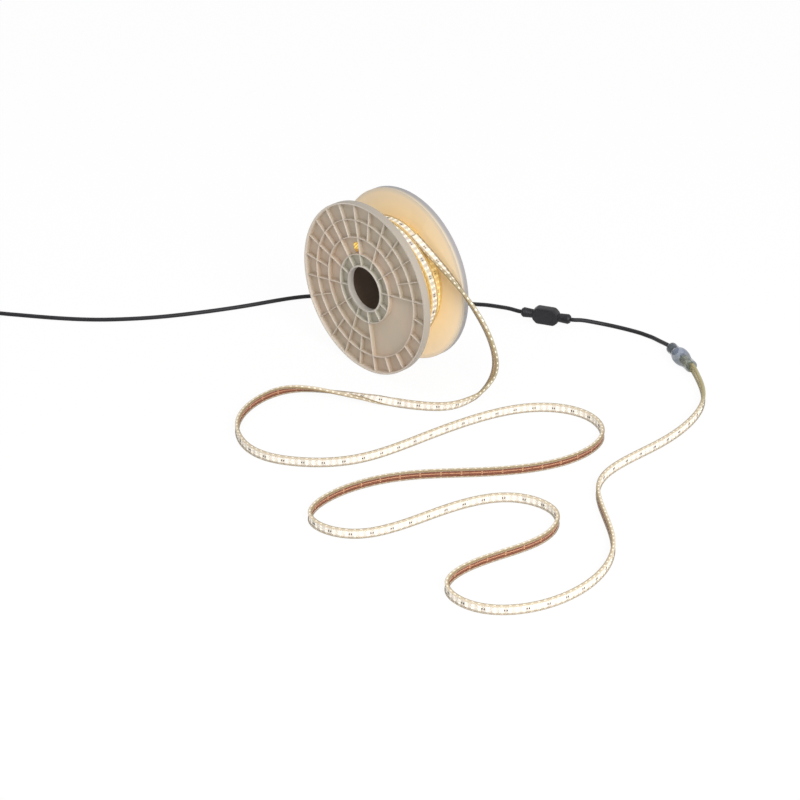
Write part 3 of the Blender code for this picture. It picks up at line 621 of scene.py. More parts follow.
feedCord, feedStations = makeCord("feedCord", feedRoute())
mainsCord, mainsStations = makeCord("mainsLead", mainsRoute())
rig.replaces(feedCord, "feed_cord")
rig.replaces(mainsCord, "mains_cord", "mains_cord_coil", "mains_cord_tail")
print("cords", stationsLength(feedStations), stationsLength(mainsStations))


# finishes of the strip
def sheathMaterial(name, tone):
    f = Finish(name)
    alongRun, acrossRun, _ = f.mapNamed("run")
    _, depth, _ = f.mapNamed("side")
    across = abs(acrossRun)
    upper = abs(acrossRun.over(0.0) - alongRun.over(tone["turn"]))  # which edge is up changes at the twist
    side = across.ramp(0.0064, 0.0071)
    # painted edge line along the sheath's corners: painted shade on the corner picked by which edge is up, and on the
    # wound strips a painted golden LED glow along the corners
    corner = across.ramp(0.0050, 0.0060) * abs(depth).ramp(0.0013, 0.0024)
    strong = 1.0 - abs(depth.under(0.0) - upper)
    line = corner * (strong * 0.8 + tone["weakLine"])
    wall = f.mix(depth.ramp(-0.0034, 0.0022), tone["wallBack"], tone["wall"])
    # painted glow: a bright dash on the wall beside each LED, where its light leaks through the sheath
    ledGlowDash = abs(depth - 0.0004).under(0.0011) * lightsNear(alongRun, tone["first"], 0.0019)
    wall = f.mix(ledGlowDash * 0.8, wall, tone["ledGlowDash"])
    if "falling" in tone:
        start, end = tone["falling"]
        share = alongRun.ramp(start, start + 0.04) * (1.0 - alongRun.ramp(end - 0.05, end)) * (1.0 - ledGlowDash)
        wall = f.mix(share * 0.8, wall, srgb(152, 142, 114))
    if "tan" in tone:
        wall = f.mix(alongRun.ramp(tone["tan"] - 0.06, tone["tan"]), wall, srgb(158, 150, 110))
    haze = f.noise(70.0, 2.0)
    colour = f.mix(side, tone["face"], wall)
    colour = f.mix(line, colour, tone["line"])
    alpha = side * (strip["sideAlpha"] - tone["faceAlpha"]) + tone["faceAlpha"]
    alpha = (alpha + haze * 0.02 - depth.under(-0.0018) * 0.05).math("MAXIMUM", line * 0.95)
    return f.put(base_color=colour, roughness=0.2, specular_i_o_r_level=0.25, alpha=alpha,
                 emission_color=colour, emission_strength=tone["glow"], normal=f.bump(haze, 0.08, 0.001))


def lightsNear(alongRun, first, reach):  # 1 beside each light along the run
    group = ((alongRun - first) / strip["group"]) % 1.0
    near = None
    for share in strip["lights"]:
        found = abs(group - share).under(reach / strip["group"])
        near = found if near is None else near.math("MAXIMUM", found)
    return near


def boardMaterial(name, tone):
    f = Finish(name)
    alongRun, acrossRun, _ = f.mapNamed("run")
    _, depth, _ = f.mapNamed("side")
    across = abs(acrossRun)
    lit = depth.over(strip["boardDepth"])
    group = ((alongRun - tone["first"]) / strip["group"]) % 1.0
    mottle = f.noise(260.0, 3.0)
    back = f.mix(mottle.ramp(0.40, 0.75) * 0.6, tone["back"], srgb(98, 54, 30))
    back = f.mix(across.under(0.0006) * mottle.ramp(0.28, 0.40), back, srgb(204, 150, 112))
    back = f.mix(abs(across - 0.0042).under(0.0004) * 0.7, back, srgb(88, 52, 32))
    pad = abs(group - 0.5).under(0.035) * abs(across - 0.0022).under(0.0009)
    back = f.mix(pad * 0.8, back, srgb(214, 168, 120))
    if "tan" in tone:
        cream = f.mix(mottle.ramp(0.45, 0.65), srgb(158, 150, 108), srgb(196, 188, 146))
        back = f.mix(alongRun.ramp(tone["tan"] - 0.03, tone["tan"]), back, cream)
        start, end = tone["falling"]
        share = alongRun.ramp(start, start + 0.05) * (1.0 - alongRun.ramp(end - 0.08, end))
        back = f.mix(share * 0.75, back, srgb(212, 180, 132))
    rim = across.over(0.0054)
    back = f.mix(rim * 0.6, back, srgb(204, 168, 122))
    # the board's LED side: its own colour, with a painted pool of LED light round each light, used for the base colour
    # and the emission
    halo = lightsNear(alongRun, tone["first"], 0.0030)
    patch = f.noise(14.0, 2.0)
    ledSideWithHalo = f.mix(patch.ramp(0.40, 0.60), tone["lit"], tone["litToo"])
    ledSideWithHalo = f.mix(halo * 0.55, ledSideWithHalo, tone["halo"])
    ledSideWithHalo = f.mix(across.ramp(0.0042, 0.0050) * tone["edgeShare"], ledSideWithHalo, tone["wall"])
    colour = f.mix(lit, back, ledSideWithHalo)
    glow = f.mix(lit, (0.0, 0.0, 0.0), ledSideWithHalo)
    return f.put(base_color=colour, roughness=0.5, emission_color=glow, emission_strength=tone["boardGlow"])


def plainMaterial(name, colour, roughness, metallic=0.0, glow=None, strength=0.0):
    f = Finish(name)
    f.put(base_color=colour, roughness=roughness, metallic=metallic)
    if glow:
        f.put(emission_color=glow, emission_strength=strength)
    return f.material


chipWhite = plainMaterial("ledWhite", srgb(255, 250, 240), 0.4, 0.0, (1.0, 0.95, 0.87), 0.12)
chipWarm = plainMaterial("ledWarm", srgb(255, 238, 184), 0.4, 0.0, (1.0, 0.86, 0.50), 0.40)
resistorDark = plainMaterial("resistorDark", srgb(48, 42, 34), 0.6)
tones = {
    "free": {"chip": chipWhite, "edgeShare": 0.35, "first": 0.0286, "turn": 0.58, "weakLine": 0.12,
             "wall": srgb(204, 190, 166), "wallBack": srgb(168, 146, 110), "ledGlowDash": srgb(250, 244, 226),
             "line": srgb(142, 124, 88), "face": srgb(240, 234, 222), "faceAlpha": 0.06,
             "glow": 0.02, "falling": (0.05, 0.38),
             "lit": srgb(218, 210, 200), "litToo": srgb(230, 221, 209), "halo": srgb(250, 243, 231),
             "back": srgb(122, 60, 30), "boardGlow": 0.04, "tan": 3.86},
    "upper": {"chip": chipWhite, "edgeShare": 1.0, "first": 0.0083, "turn": 99.0, "weakLine": 0.6,
              "wall": srgb(232, 212, 156), "wallBack": srgb(216, 188, 120), "ledGlowDash": srgb(255, 244, 200),
              "line": srgb(222, 190, 130),
              "face": srgb(240, 234, 222), "faceAlpha": 0.10, "glow": 0.05,
              "lit": srgb(192, 186, 186), "litToo": srgb(194, 194, 180), "halo": srgb(238, 230, 218),
              "back": srgb(170, 96, 50), "boardGlow": 0.0},
    "lower": {"chip": chipWarm, "edgeShare": 1.0, "first": 0.0119, "turn": 99.0, "weakLine": 0.7,
              "wall": srgb(244, 216, 142), "wallBack": srgb(232, 200, 120), "ledGlowDash": srgb(255, 240, 178),
              "line": srgb(230, 194, 114),
              "face": srgb(244, 222, 150), "faceAlpha": 0.30, "glow": 0.08,
              "lit": srgb(240, 216, 162), "litToo": srgb(236, 208, 146), "halo": srgb(254, 236, 186),
              "back": srgb(170, 110, 50), "boardGlow": 0.12}}
for toneName, tone in tones.items():
    tone["sheath"] = sheathMaterial("sheath" + toneName.capitalize(), tone)
    tone["board"] = boardMaterial("board" + toneName.capitalize(), tone)


def frameAt(stations, run, distance):
    k = min(max(int(np.searchsorted(run, distance)) - 1, 0), len(stations) - 2)
    share = (distance - run[k]) / max(run[k + 1] - run[k], 1e-9)
    centre, across, face = (stations[k][j].lerp(stations[k + 1][j], share) for j in range(3))
    across.normalize()
    travel = across.cross(face).normalized()
    face = travel.cross(across).normalized() * (1 if travel.cross(across).dot(face) > 0 else -1)
    return centre, across, face, travel


def brick(bm, centre, travel, across, face, size):  # a box of size (along, across, face)
    turn = Matrix((travel * size[0], across * size[1], face * size[2])).transposed().to_4x4()
    bmesh.ops.create_cube(bm, size=1.0, matrix=Matrix.Translation(centre) @ turn)


def buildStrip(name, stations, tone, slotName, squeeze=1.0):
    half = strip["width"] / 2 * squeeze
    deep = strip["thickness"] / 2
    shell = rounded([(-half, -deep), (half, -deep), (half, deep), (-half, deep)], strip["corner"], 3)
    bm = bmesh.new()
    run = sweep(bm, stations, shell)
    sheath = keepMesh(bm, name, tone["sheath"], slotName, 60.0)

    low = strip["boardDepth"] - strip["boardThickness"] / 2
    high = strip["boardDepth"] + strip["boardThickness"] / 2
    wide = strip["boardWidth"] / 2
    bm = bmesh.new()
    sweep(bm, stations, [(-wide, low), (wide, low), (wide, high), (-wide, high)])
    keepMesh(bm, name + "Board", tone["board"], slotName, 40.0)

    chips = bmesh.new()
    marks = bmesh.new()
    total = run[-1]

    def mount(bm, distance, sideways, size):
        if strip["bareStart"] < distance < total - strip["bareEnd"]:
            centre, across, face, travel = frameAt(stations, run, distance)
            for offset in sideways:
                spot = centre + across * offset + face * (high + size[2] / 2)
                brick(bm, spot, travel, across, face, size)

    for k in range(-1, int((total - tone["first"]) / strip["group"]) + 2):
        middle = tone["first"] + k * strip["group"]
        for share in strip["lights"]:
            mount(chips, middle + strip["group"] * share, strip["chipRows"], strip["chip"])
        for way in (-1, 1):
            mount(marks, middle + way * strip["resistorGap"], strip["resistorRows"], strip["resistor"])
    keepMesh(chips, name + "Lights", tone["chip"], slotName)
    keepMesh(marks, name + "Resistors", resistorDark, slotName)
    return sheath, run


stripStations = freeStations()
stripPiece, stripRun = buildStrip("ledStrip", stripStations, tones["free"], "strip")
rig.replaces(stripPiece, "led_strip")
print("free strip", stripRun[-1])


# the roll: a plain core, a whole lower layer and the turns on top of it, the last of which leaves
roll = {"leaveAngle": 62.0, "leave": 0.0205, "crossingEnd": -16.0, "end": 0.0163, "crossingStart": 70.0,
        "start": 0.004, "columns": 5, "proud": 2, "layers": 6, "shift": (118.0, 178.0), "step": 4.0,
        "squeeze": 0.985, "upperTurned": (1.0, 1190.0), "lowerTurned": (110.0, 1919.0), "sides": 96,
        "groove": 0.0010, "coreGap": 0.0001}
rollHalf = spool["width"] / 2 - spool["flange"] - spool["gap"]
rollBase = spool["drum"] + spool["gap"]
rollWhole = rollBase + roll["layers"] * strip["thickness"]
columnPitch = 2 * rollHalf / roll["columns"]


def lastTurnOffset(degrees):
    crossing = 360.0 + roll["crossingEnd"]
    if degrees < crossing:
        share = (degrees - roll["leaveAngle"]) / (crossing - roll["leaveAngle"])
        return roll["leave"] + (roll["end"] - roll["leave"]) * share
    share = ease((degrees - crossing) / (roll["crossingStart"] - roll["crossingEnd"]))
    return roll["end"] + (roll["start"] - roll["end"]) * share


def columnMiddle(k):
    return -rollHalf + columnPitch * (k + 0.5)


def polar(radius, degrees, y):
    angle = math.radians(degrees)
    return Vector((radius * math.cos(angle), y, spool["radius"] + radius * math.sin(angle)))


def woundStations(radius, offset, first, last):  # turned angle back from the leaving point, first to last
    count = round((last - first) / roll["step"])
    centres = []
    for k in range(count, -1, -1):
        turned = first + (last - first) * k / count
        centres.append(polar(radius, roll["leaveAngle"] + turned, offset(turned)))
    stations = []
    for k, centre in enumerate(centres):
        travel = (centres[min(k + 1, count)] - centres[max(k - 1, 0)]).normalized()
        face = (centre - Vector((0, centre.y, spool["radius"]))).normalized()
        across = travel.cross(face).normalized()
        stations.append((centre, across, face))
    return stations


def upperOffset(turned):
    if turned <= 360.0:
        return lastTurnOffset(roll["leaveAngle"] + turned)
    place = roll["start"]
    begin, done = roll["shift"]
    for k in (1, 2):
        target = columnMiddle(roll["proud"] - k)
        place += (target - place) * ease((turned - 360.0 * k - begin) / (done - begin))
    return place


def lowerOffset(turned):
    place = columnMiddle(0)
    begin, done = roll["shift"]
    for k in range(1, roll["columns"]):
        place += columnPitch * ease((turned - 360.0 * k - begin) / (done - begin))
    return place


def rollMaterial(name):  # painted glow in gold, with painted shade where two columns meet
    f = Finish(name)
    _, y, _ = f.split(f.place())
    paintedLine = abs(((y + rollHalf) / columnPitch) % 1.0 - 0.5).ramp(0.40, 0.49)
    colour = f.mix(paintedLine, srgb(244, 214, 148), srgb(214, 172, 98))
    return f.put(base_color=colour, roughness=0.4, emission_color=colour, emission_strength=0.25)


def makeRoll():
    layers = (("woundUpper", 1, upperOffset, "upper"), ("woundLower", -1, lowerOffset, "lower"))
    for name, side, offset, tone in layers:
        radius = rollWhole + side * strip["thickness"] / 2
        stations = woundStations(radius, offset, *roll[tone + "Turned"])
        buildStrip(name, stations, tones[tone], "strip", roll["squeeze"])
    top = rollWhole - strip["thickness"] - roll["coreGap"]
    groove = roll["groove"]
    profile = [(rollBase, -rollHalf), (rollBase, rollHalf), (top - groove, rollHalf)]
    for k in range(roll["columns"], 0, -1):
        near = -rollHalf + k * columnPitch
        far = near - columnPitch
        profile += [(top, near - groove), (top, far + groove), (top - groove, far)]
    bm = bmesh.new()
    upright = Matrix.Translation((0, 0, spool["radius"])) @ Matrix.Rotation(-math.pi / 2, 4, "X")
    spinProfile(bm, profile, roll["sides"], upright)
    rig.replaces(keepMesh(bm, "rollCore", rollMaterial("rollCore"), "strip", 30.0), "wound_strip")


makeRoll()
print("roll ready")


# the two flanges
flange = {"rim": 0.004, "panel": 0.003, "bore": 0.0395, "collar": 0.0028, "rib": 0.0018, "setback": 0.002,
          "proud": 0.0002, "rings": (0.062, 0.093, 0.124), "start": 10.0, "halfStart": 25.0,
          "pitch": 30.0, "window": (-80.0, 10.0), "buried": 0.0009, "ribEdge": 0.0003, "ringSteps": 108,
          "spigot": 0.0025, "spigotLength": 0.012, "drumWall": 0.0025, "holeAngle": 110.0, "holeRise": 0.0108,
          "holeSize": 0.018, "holeCorner": 0.005, "draft": 0.55, "round": 0.0006, "steps": 144}


def flangeMaterial():
    f = Finish("flangePlastic")
    x, y, z = f.split(f.place())
    up = z - spool["radius"]
    radius = (x * x + up * up).math("SQRT")
    depth = abs(y)
    taupe = srgb(184, 170, 150)
    cloud = f.noise(16.0, 2.0)
    colour = f.mix(cloud.ramp(0.35, 0.65) * 0.7, taupe, srgb(194, 172, 152))
    colour = f.mix(radius.under(flange["rings"][0]) * 0.75, colour, srgb(174, 172, 158))
    colour = f.mix(up.ramp(0.03, 0.15) * 0.4, colour, srgb(174, 170, 156))
    # painted highlight: the tops of the ribs, rings and rim lighter
    top = depth.ramp(0.0440, 0.0488)
    colour = f.mix(top * 0.6, colour, srgb(206, 199, 190))
    rim = radius.ramp(0.1541, 0.1546)
    # painted light on the rims: the rear rim runs from a painted warm LED glow by its inner face to a cooler grey,
    # while the front rim keeps one taupe
    rearRimGlowBand = f.mix(depth.ramp(0.0385, 0.0450), srgb(198, 184, 162), srgb(150, 147, 148))
    colour = f.mix(rim, colour, f.mix(y.over(0.0), srgb(164, 155, 143), rearRimGlowBand))
    colour = f.mix(radius.under(0.0412), colour, srgb(178, 172, 164))
    # painted light: the faces towards the winding take a painted cream glow from the LEDs, in base colour and in
    # emission, the emission stronger lower down
    inner = depth.under(0.0380)
    innerGlow = f.mix(radius.ramp(0.120, 0.146), srgb(234, 212, 172), srgb(228, 208, 176))
    innerGlow = f.mix(radius.ramp(0.146, 0.154) * 0.5, innerGlow, srgb(190, 186, 182))
    lit = inner * radius.over(0.061) * (1.0 - rim)
    colour = f.mix(lit, colour, innerGlow)
    # painted shade: the inner face inside the drum's hollow dark brown
    colour = f.mix(inner * radius.under(0.061), colour, srgb(84, 66, 49))
    low = 1.0 - up.ramp(-0.08, 0.04)
    light = f.mix(lit * (low * 0.8 + 0.2), (0.0, 0.0, 0.0), innerGlow)
    grain = f.noise(700.0, 2.0)
    return f.put(base_color=colour, roughness=0.48, emission_color=light, emission_strength=0.22,
                 normal=f.bump(grain, 0.08, 0.0005))


def ribBar(bm, start, end, degrees, low, high):
    made = bmesh.ops.create_cube(bm, size=1.0)["verts"]
    bmesh.ops.scale(bm, vec=(end - start, flange["rib"], high - low), verts=made)
    bmesh.ops.translate(bm, vec=((start + end) / 2, 0, (high + low) / 2), verts=made)
    for v in made:
        if v.co.z > (high + low) / 2:
            v.co.y *= flange["draft"]
    tops = [e for e in {e for v in made for e in v.link_edges}
            if min(v.co.z for v in e.verts) > high - 1e-6 and abs(e.verts[0].co.x - e.verts[1].co.x) > 1e-4]
    beveled = bevel(bm, tops, flange["ribEdge"], 2)
    whole = {v for v in made if v.is_valid} | set(beveled["verts"])
    bmesh.ops.rotate(bm, matrix=Matrix.Rotation(math.radians(degrees), 3, "Z"), verts=list(whole))


def flangeDisc(face, inner, panel, ringTop):
    half = flange["rib"] / 2
    slim = half * flange["draft"]
    edge = spool["radius"]
    bore = flange["bore"]
    collar = bore + flange["collar"]
    spigot = spool["drum"] - flange["drumWall"] - spool["gap"]
    tip = inner - flange["spigotLength"]
    corners = [(edge, face), (edge, inner), (spigot, inner), (spigot, tip), (spigot - flange["spigot"], tip),
               (spigot - flange["spigot"], inner), (bore, inner), (bore, ringTop), (collar, ringTop),
               (collar, panel)]
    for radius in (flange["rings"][0], flange["rings"][2]):
        corners += [(radius - half, panel), (radius - slim, ringTop), (radius + slim, ringTop),
                    (radius + half, panel)]
    corners += [(edge - flange["rim"], panel), (edge - flange["rim"] * 0.75, face)]
    bm = bmesh.new()
    spinProfile(bm, rounded(corners, flange["round"], 2), flange["steps"])
    return looseObject(bm, "flangeDisc")


def flangeRibs(low, high):
    innerRing, middleRing, outerRing = flange["rings"]
    startWindow, endWindow = flange["window"]
    collar = flange["bore"] + flange["collar"] / 2
    rim = spool["radius"] - flange["rim"] / 2
    bm = bmesh.new()
    for k in range(round(360 / flange["pitch"])):
        main = flange["start"] + k * flange["pitch"]
        small = flange["halfStart"] + k * flange["pitch"]
        if startWindow % 360 + 1 < main % 360 < 359:
            ribBar(bm, collar, innerRing, main, low, high)
            ribBar(bm, outerRing, rim, main, low, high)
        else:
            ribBar(bm, collar, rim, main, low, high)
        inWindow = small % 360 > startWindow % 360 or small % 360 < endWindow
        ribBar(bm, outerRing if inWindow else middleRing, rim, small, low, high)
    return looseObject(bm, "flangeRibs")


def flangeRing(low, ringTop):  # the middle ring, which stops at the plain window
    startWindow, endWindow = flange["window"]
    middle = flange["rings"][1]
    half = flange["rib"] / 2
    slim = half * flange["draft"]
    bm = bmesh.new()
    section = ((middle - half, low), (middle + half, low), (middle + slim, ringTop), (middle - slim, ringTop))
    loop = bm.faces.new([bm.verts.new((radius, 0, height)) for radius, height in section])
    bmesh.ops.rotate(bm, matrix=Matrix.Rotation(math.radians(endWindow), 3, "Z"), verts=bm.verts)
    bmesh.ops.spin(bm, geom=[loop], axis=(0, 0, 1), angle=math.radians(360 + startWindow - endWindow),
                   steps=flange["ringSteps"])
    bmesh.ops.holes_fill(bm, edges=[e for e in bm.edges if e.is_boundary], sides=0)
    bmesh.ops.recalc_face_normals(bm, faces=bm.faces)
    return looseObject(bm, "flangeRing")


def flangeHole(inner):
    bm = bmesh.new()
    bmesh.ops.create_cube(bm, size=flange["holeSize"])
    upright = [e for e in bm.edges if abs(e.verts[0].co.z - e.verts[1].co.z) > flange["holeSize"] / 2]
    bevel(bm, upright, flange["holeCorner"], 6)
    bmesh.ops.translate(bm, vec=(spool["drum"] + flange["holeRise"], 0, inner), verts=bm.verts)
    bmesh.ops.rotate(bm, matrix=Matrix.Rotation(math.radians(flange["holeAngle"]), 3, "Z"), verts=bm.verts)
    return looseObject(bm, "flangeHole")


def makeFlanges():
    face = spool["width"] / 2
    inner = face - spool["flange"]
    panel = inner + flange["panel"]
    low = panel - flange["buried"]
    high = face - flange["setback"]
    ringTop = high + flange["proud"]
    disc = flangeDisc(face, inner, panel, ringTop)
    helpers = ((flangeRibs(low, high), "UNION"), (flangeRing(low, ringTop), "UNION"),
               (flangeHole(inner), "DIFFERENCE"))
    applied(disc, *(("BOOLEAN", {"object": helper, "operation": operation, "solver": "EXACT"})
                    for helper, operation in helpers))
    for helper, _ in helpers:
        bpy.data.objects.remove(helper)
    plastic = flangeMaterial()
    placed = Matrix.Translation((0, 0, spool["radius"]))
    shape = disc.data
    bpy.data.objects.remove(disc)
    for name, node, turn in (("frontFlange", "front_flange", 0.0), ("rearFlange", "rear_flange", math.pi)):
        mesh = shape.copy()
        mesh.transform(placed @ Matrix.Rotation(turn, 4, "Z") @ Matrix.Rotation(math.pi / 2, 4, "X"))
        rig.replaces(dress(placeMesh(mesh, name), plastic, "flange", 32.0), node)
        print(name, len(mesh.polygons))


makeFlanges()


# the connector, a smoky egg over a black gland and the strip's bare end
shell = {"length": (connector["front"] - connector["rear"]).length, "paintedLine": 0.0222, "bulge": (0.021, 0.055),
         "outline": ((0.0, 0.0), (0.0, 0.0088), (0.0010, 0.0100), (0.0060, 0.0104), (0.0180, 0.0104),
                     (0.0205, 0.0108), (0.0245, 0.0128), (0.0300, 0.0145), (0.0370, 0.0149), (0.0440, 0.0144),
                     (0.0500, 0.0130), (0.0548, 0.0115), (0.0600, 0.0111), (0.0740, 0.0111), (0.0768, 0.0104),
                     (0.0768, 0.0))}
gland = {"start": 0.0006, "end": 0.0130, "radius": 0.0084, "lip": 0.0006, "ring": 0.0032}
core = {"start": 0.038, "thickness": 0.00775, "width": 0.01536, "edge": 0.0012, "gap": 0.0004}


def turnedPiece(name, corners, matrix, material, slotName, angle=35.0, steps=48):  # (height, radius) corners
    bm = bmesh.new()
    spinProfile(bm, [(radius, height) for height, radius in corners], steps,
                matrix @ Matrix.Rotation(math.pi / 2, 4, "Y"))
    return keepMesh(bm, name, material, slotName, angle)


def alongConnector(f):  # distance from the connector's rear end, and the height above the floor
    x, y, z = f.split(f.place())
    start = connector["rear"]
    way = -connectorWay
    return (x - start.x) * way.x + (y - start.y) * way.y + (z - start.z) * way.z, z


def smokyMaterial():
    f = Finish("connectorClear")
    run, z = alongConnector(f)
    low, high = shell["bulge"]
    bulge = run.ramp(low, low + 0.004) * (1.0 - run.ramp(high - 0.010, high))
    # painted highlight: a near-white line round the shoulder where the rear neck meets the bulge
    paintedLine = abs(run - shell["paintedLine"]).under(0.0007)
    # painted shade: dark lines round both ends of the shell
    endShadeLines = abs(run - shell["length"]).under(0.0018).math("MAXIMUM", abs(run - gland["start"]).under(0.0012))
    stripes = f.noise(320.0, 1.0)
    colour = f.mix(bulge, srgb(92, 100, 104), srgb(92, 104, 118))
    # painted reflection: lighter and bluer towards the top
    colour = f.mix((z - 0.020).ramp(0.0, 0.010) * 0.5, colour, srgb(132, 142, 172))
    colour = f.mix(paintedLine, colour, srgb(236, 240, 246))
    colour = f.mix(endShadeLines * 0.7, colour, srgb(84, 90, 84))
    alpha = bulge * 0.36 + 0.36 + stripes * 0.06 + paintedLine * 0.3 + endShadeLines * 0.35
    return f.put(base_color=colour, roughness=0.10, alpha=alpha)


def coreMaterial():
    f = Finish("connectorCore")
    grain = f.noise(120.0, 3.0)
    glint = f.noise(210.0, 2.0).ramp(0.60, 0.68)
    colour = f.mix(grain.ramp(0.35, 0.65), srgb(132, 134, 98), srgb(164, 162, 126))
    return f.put(base_color=f.mix(glint, colour, srgb(218, 226, 200)), roughness=0.4)


def glandMaterial():
    f = Finish("glandRubber")
    x, y, _ = f.split(f.place())
    # painted highlights: a lighter band on each of the gland's rings
    ring = ((x * -0.933 + y * 0.361) / gland["ring"] % 1.0 - 0.5).under(-0.2)
    return f.put(base_color=f.mix(ring, srgb(20, 22, 26), srgb(76, 82, 90)), roughness=0.35)


def makeConnector():
    frameAlong = along(connector["rear"], connector["front"])
    smoky = smokyMaterial()
    outside = turnedPiece("connectorShell", shell["outline"], frameAlong, smoky, "connector", 60.0)
    first, last, radius, lip = (gland[key] for key in ("start", "end", "radius", "lip"))
    corners = ((first, 0.0), (first, radius - lip), (first + lip, radius), (last, radius), (last, 0.0))
    holder = turnedPiece("connectorGland", corners, frameAlong, glandMaterial(), "cord")
    length = shell["length"] - core["start"]
    middle = Matrix.Translation((core["start"] + length / 2, 0, 0))
    size = Matrix.Diagonal((length - core["gap"], core["thickness"], core["width"], 1.0))
    bm = bmesh.new()
    bmesh.ops.create_cube(bm, size=1.0, matrix=frameAlong @ middle @ size)
    bevel(bm, bm.edges[:], core["edge"], 3)
    stub = keepMesh(bm, "connectorCore", coreMaterial(), "pin_holder")
    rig.replaces(outside, "connector_shell")
    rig.replaces(holder, "connector_cord_gland")
    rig.replaces(stub, "connector_strip_seal", "connector_pin_holder", "connector_pin_upper",
                "connector_pin_lower")
    return [outside, holder, stub]


connectorPieces = makeConnector()


# the rectifier box with its two ringed reliefs
def blackMaterial(name, tone, roughness):
    f = Finish(name)
    grain = f.noise(1100.0, 2.0)
    wear = f.noise(60.0, 2.0)
    return f.put(base_color=f.mix(wear.ramp(0.4, 0.7), tone, srgb(30, 30, 35)), roughness=roughness,
                 specular_i_o_r_level=0.35, normal=f.bump(grain, 0.15, 0.0003))


blackShell = blackMaterial("boxPlastic", srgb(23, 23, 27), 0.42)
reliefRubber = blackMaterial("reliefRubber", srgb(18, 18, 23), 0.48)


def makeBox():
    x = box["length"] / 2
    y = box["width"] / 2
    cut = box["chamfer"]
    octagon = [(x, -y + cut), (x, y - cut), (x - cut, y), (-x + cut, y), (-x, y - cut), (-x, -y + cut),
               (-x + cut, -y), (x - cut, -y)]
    bm = bmesh.new()
    corners = [bm.verts.new((a, b, -box["depth"] / 2)) for a, b in rounded(octagon, box["corner"], 4)]
    raised = bmesh.ops.extrude_face_region(bm, geom=[bm.faces.new(corners)])["geom"]
    bmesh.ops.translate(bm, vec=(0, 0, box["depth"]),
                        verts=[v for v in raised if isinstance(v, bmesh.types.BMVert)])
    bmesh.ops.recalc_face_normals(bm, faces=bm.faces)
    level = [e for e in bm.edges if abs(e.verts[0].co.z - e.verts[1].co.z) < 1e-6]
    bevel(bm, level, box["edge"], 4, 0.55)
    bmesh.ops.transform(bm, matrix=boxFrame(), verts=bm.verts)
    piece = keepMesh(bm, "rectifierBox", blackShell, "black_box", 25.0)
    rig.replaces(piece, "rectifier_front_shell", "rectifier_rear_shell")
    return piece


def makeRidge():  # the curved rib on the box's face
    turn = boxFrame().to_3x3()
    stations = []
    for degrees in np.linspace(-box["ridgeReach"], box["ridgeReach"], 25):
        angle = math.radians(degrees)
        arm = Vector((math.cos(angle), math.sin(angle), 0))
        centre = Vector((box["ridgeAt"], 0, box["depth"] / 2)) + arm * box["ridge"]
        stations.append((boxFrame() @ centre, turn @ arm, turn @ Vector((0, 0, 1))))
    bm = bmesh.new()
    sweep(bm, stations, circle(box["ridgeHeight"], 12))
    keepMesh(bm, "rectifierRidge", blackShell, "black_box", 50.0)


def makeRelief(name, node, side):
    length = relief["length"]
    ringed = length * relief["ringShare"]
    half = relief["ringHalf"]
    corners = [(0.0, 0.0), (0.0, relief["root"])]
    for k in range(relief["rings"]):
        place = ringed * (k + 0.5) / relief["rings"]
        radius = relief["root"] + (relief["wide"] - relief["root"]) * place / ringed
        corners += [(place - half, radius), (place, radius - relief["cut"]), (place + half, radius)]
    corners += [(length * relief["shoulder"], relief["wide"]), (length * relief["nose"], relief["tip"]),
                (length, 0.0)]
    turn = Matrix.Identity(4) if side > 0 else Matrix.Rotation(math.pi, 4, "Z")
    seat = Matrix.Translation((box["length"] / 2 - relief["seat"], 0, 0))
    piece = turnedPiece(name, corners, boxFrame() @ turn @ seat, reliefRubber, "cord", 40.0, 40)
    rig.replaces(piece, node)
    return piece


boxPiece = makeBox()
makeRidge()
reliefPieces = [makeRelief("reliefFeed", "strain_relief_feed", 1),
                makeRelief("reliefMains", "strain_relief_mains", -1)]


# the strip's inner end, which fills the hole in the front flange
tail = {"size": 0.0168, "depth": 0.0046, "corner": 0.0046, "edge": 0.0012, "proud": 0.0004, "pitch": 0.0046}
tailCentre = polar(spool["drum"] + flange["holeRise"], flange["holeAngle"],
                   tail["proud"] - spool["width"] / 2 + spool["flange"] - tail["depth"] / 2)


def tailMaterial():
    f = Finish("tailGold")
    x, _, z = f.split(f.place())
    right = x - tailCentre.x
    up = z - tailCentre.z
    stripe = abs(((up * 0.68 - right * 0.73) / tail["pitch"]) % 1.0 - 0.5).ramp(0.22, 0.36)
    # painted shade: darker towards the lower side, the shade inside the hole
    low = (right * 0.45 - up * 0.9).ramp(0.0010, 0.0040)
    colour = f.mix(stripe, srgb(255, 222, 112), srgb(206, 150, 36))
    colour = f.mix(low * 0.85, colour, f.mix(stripe, srgb(140, 86, 4), srgb(196, 136, 30)))
    # painted glow: the end glows in its own colour, standing for LED light through it
    return f.put(base_color=colour, roughness=0.35, emission_color=colour, emission_strength=0.30)


def makeTail():
    bm = bmesh.new()
    size = Matrix.Diagonal((tail["size"], tail["depth"], tail["size"], 1.0))
    bmesh.ops.create_cube(bm, size=1.0, matrix=size)
    bevel(bm, [e for e in bm.edges if abs(e.verts[0].co.y - e.verts[1].co.y) > tail["depth"] / 2],
          tail["corner"], 6)
    bevel(bm, [e for e in bm.edges if max(v.co.y for v in e.verts) < 0], tail["edge"], 3)
    turn = Matrix.Rotation(-math.radians(flange["holeAngle"]), 4, "Y")
    bmesh.ops.transform(bm, matrix=Matrix.Translation(tailCentre) @ turn, verts=bm.verts)
    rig.replaces(keepMesh(bm, "stripTail", tailMaterial(), "strip", 40.0), "strip_tail", "tail_end_cap")


makeTail()


# CAD pieces that stay, in their own finishes
def paint(material, *names):
    for name in names:
        piece = frame["nodes"][name]
        piece.data.materials.clear()
        piece.data.materials.append(material)


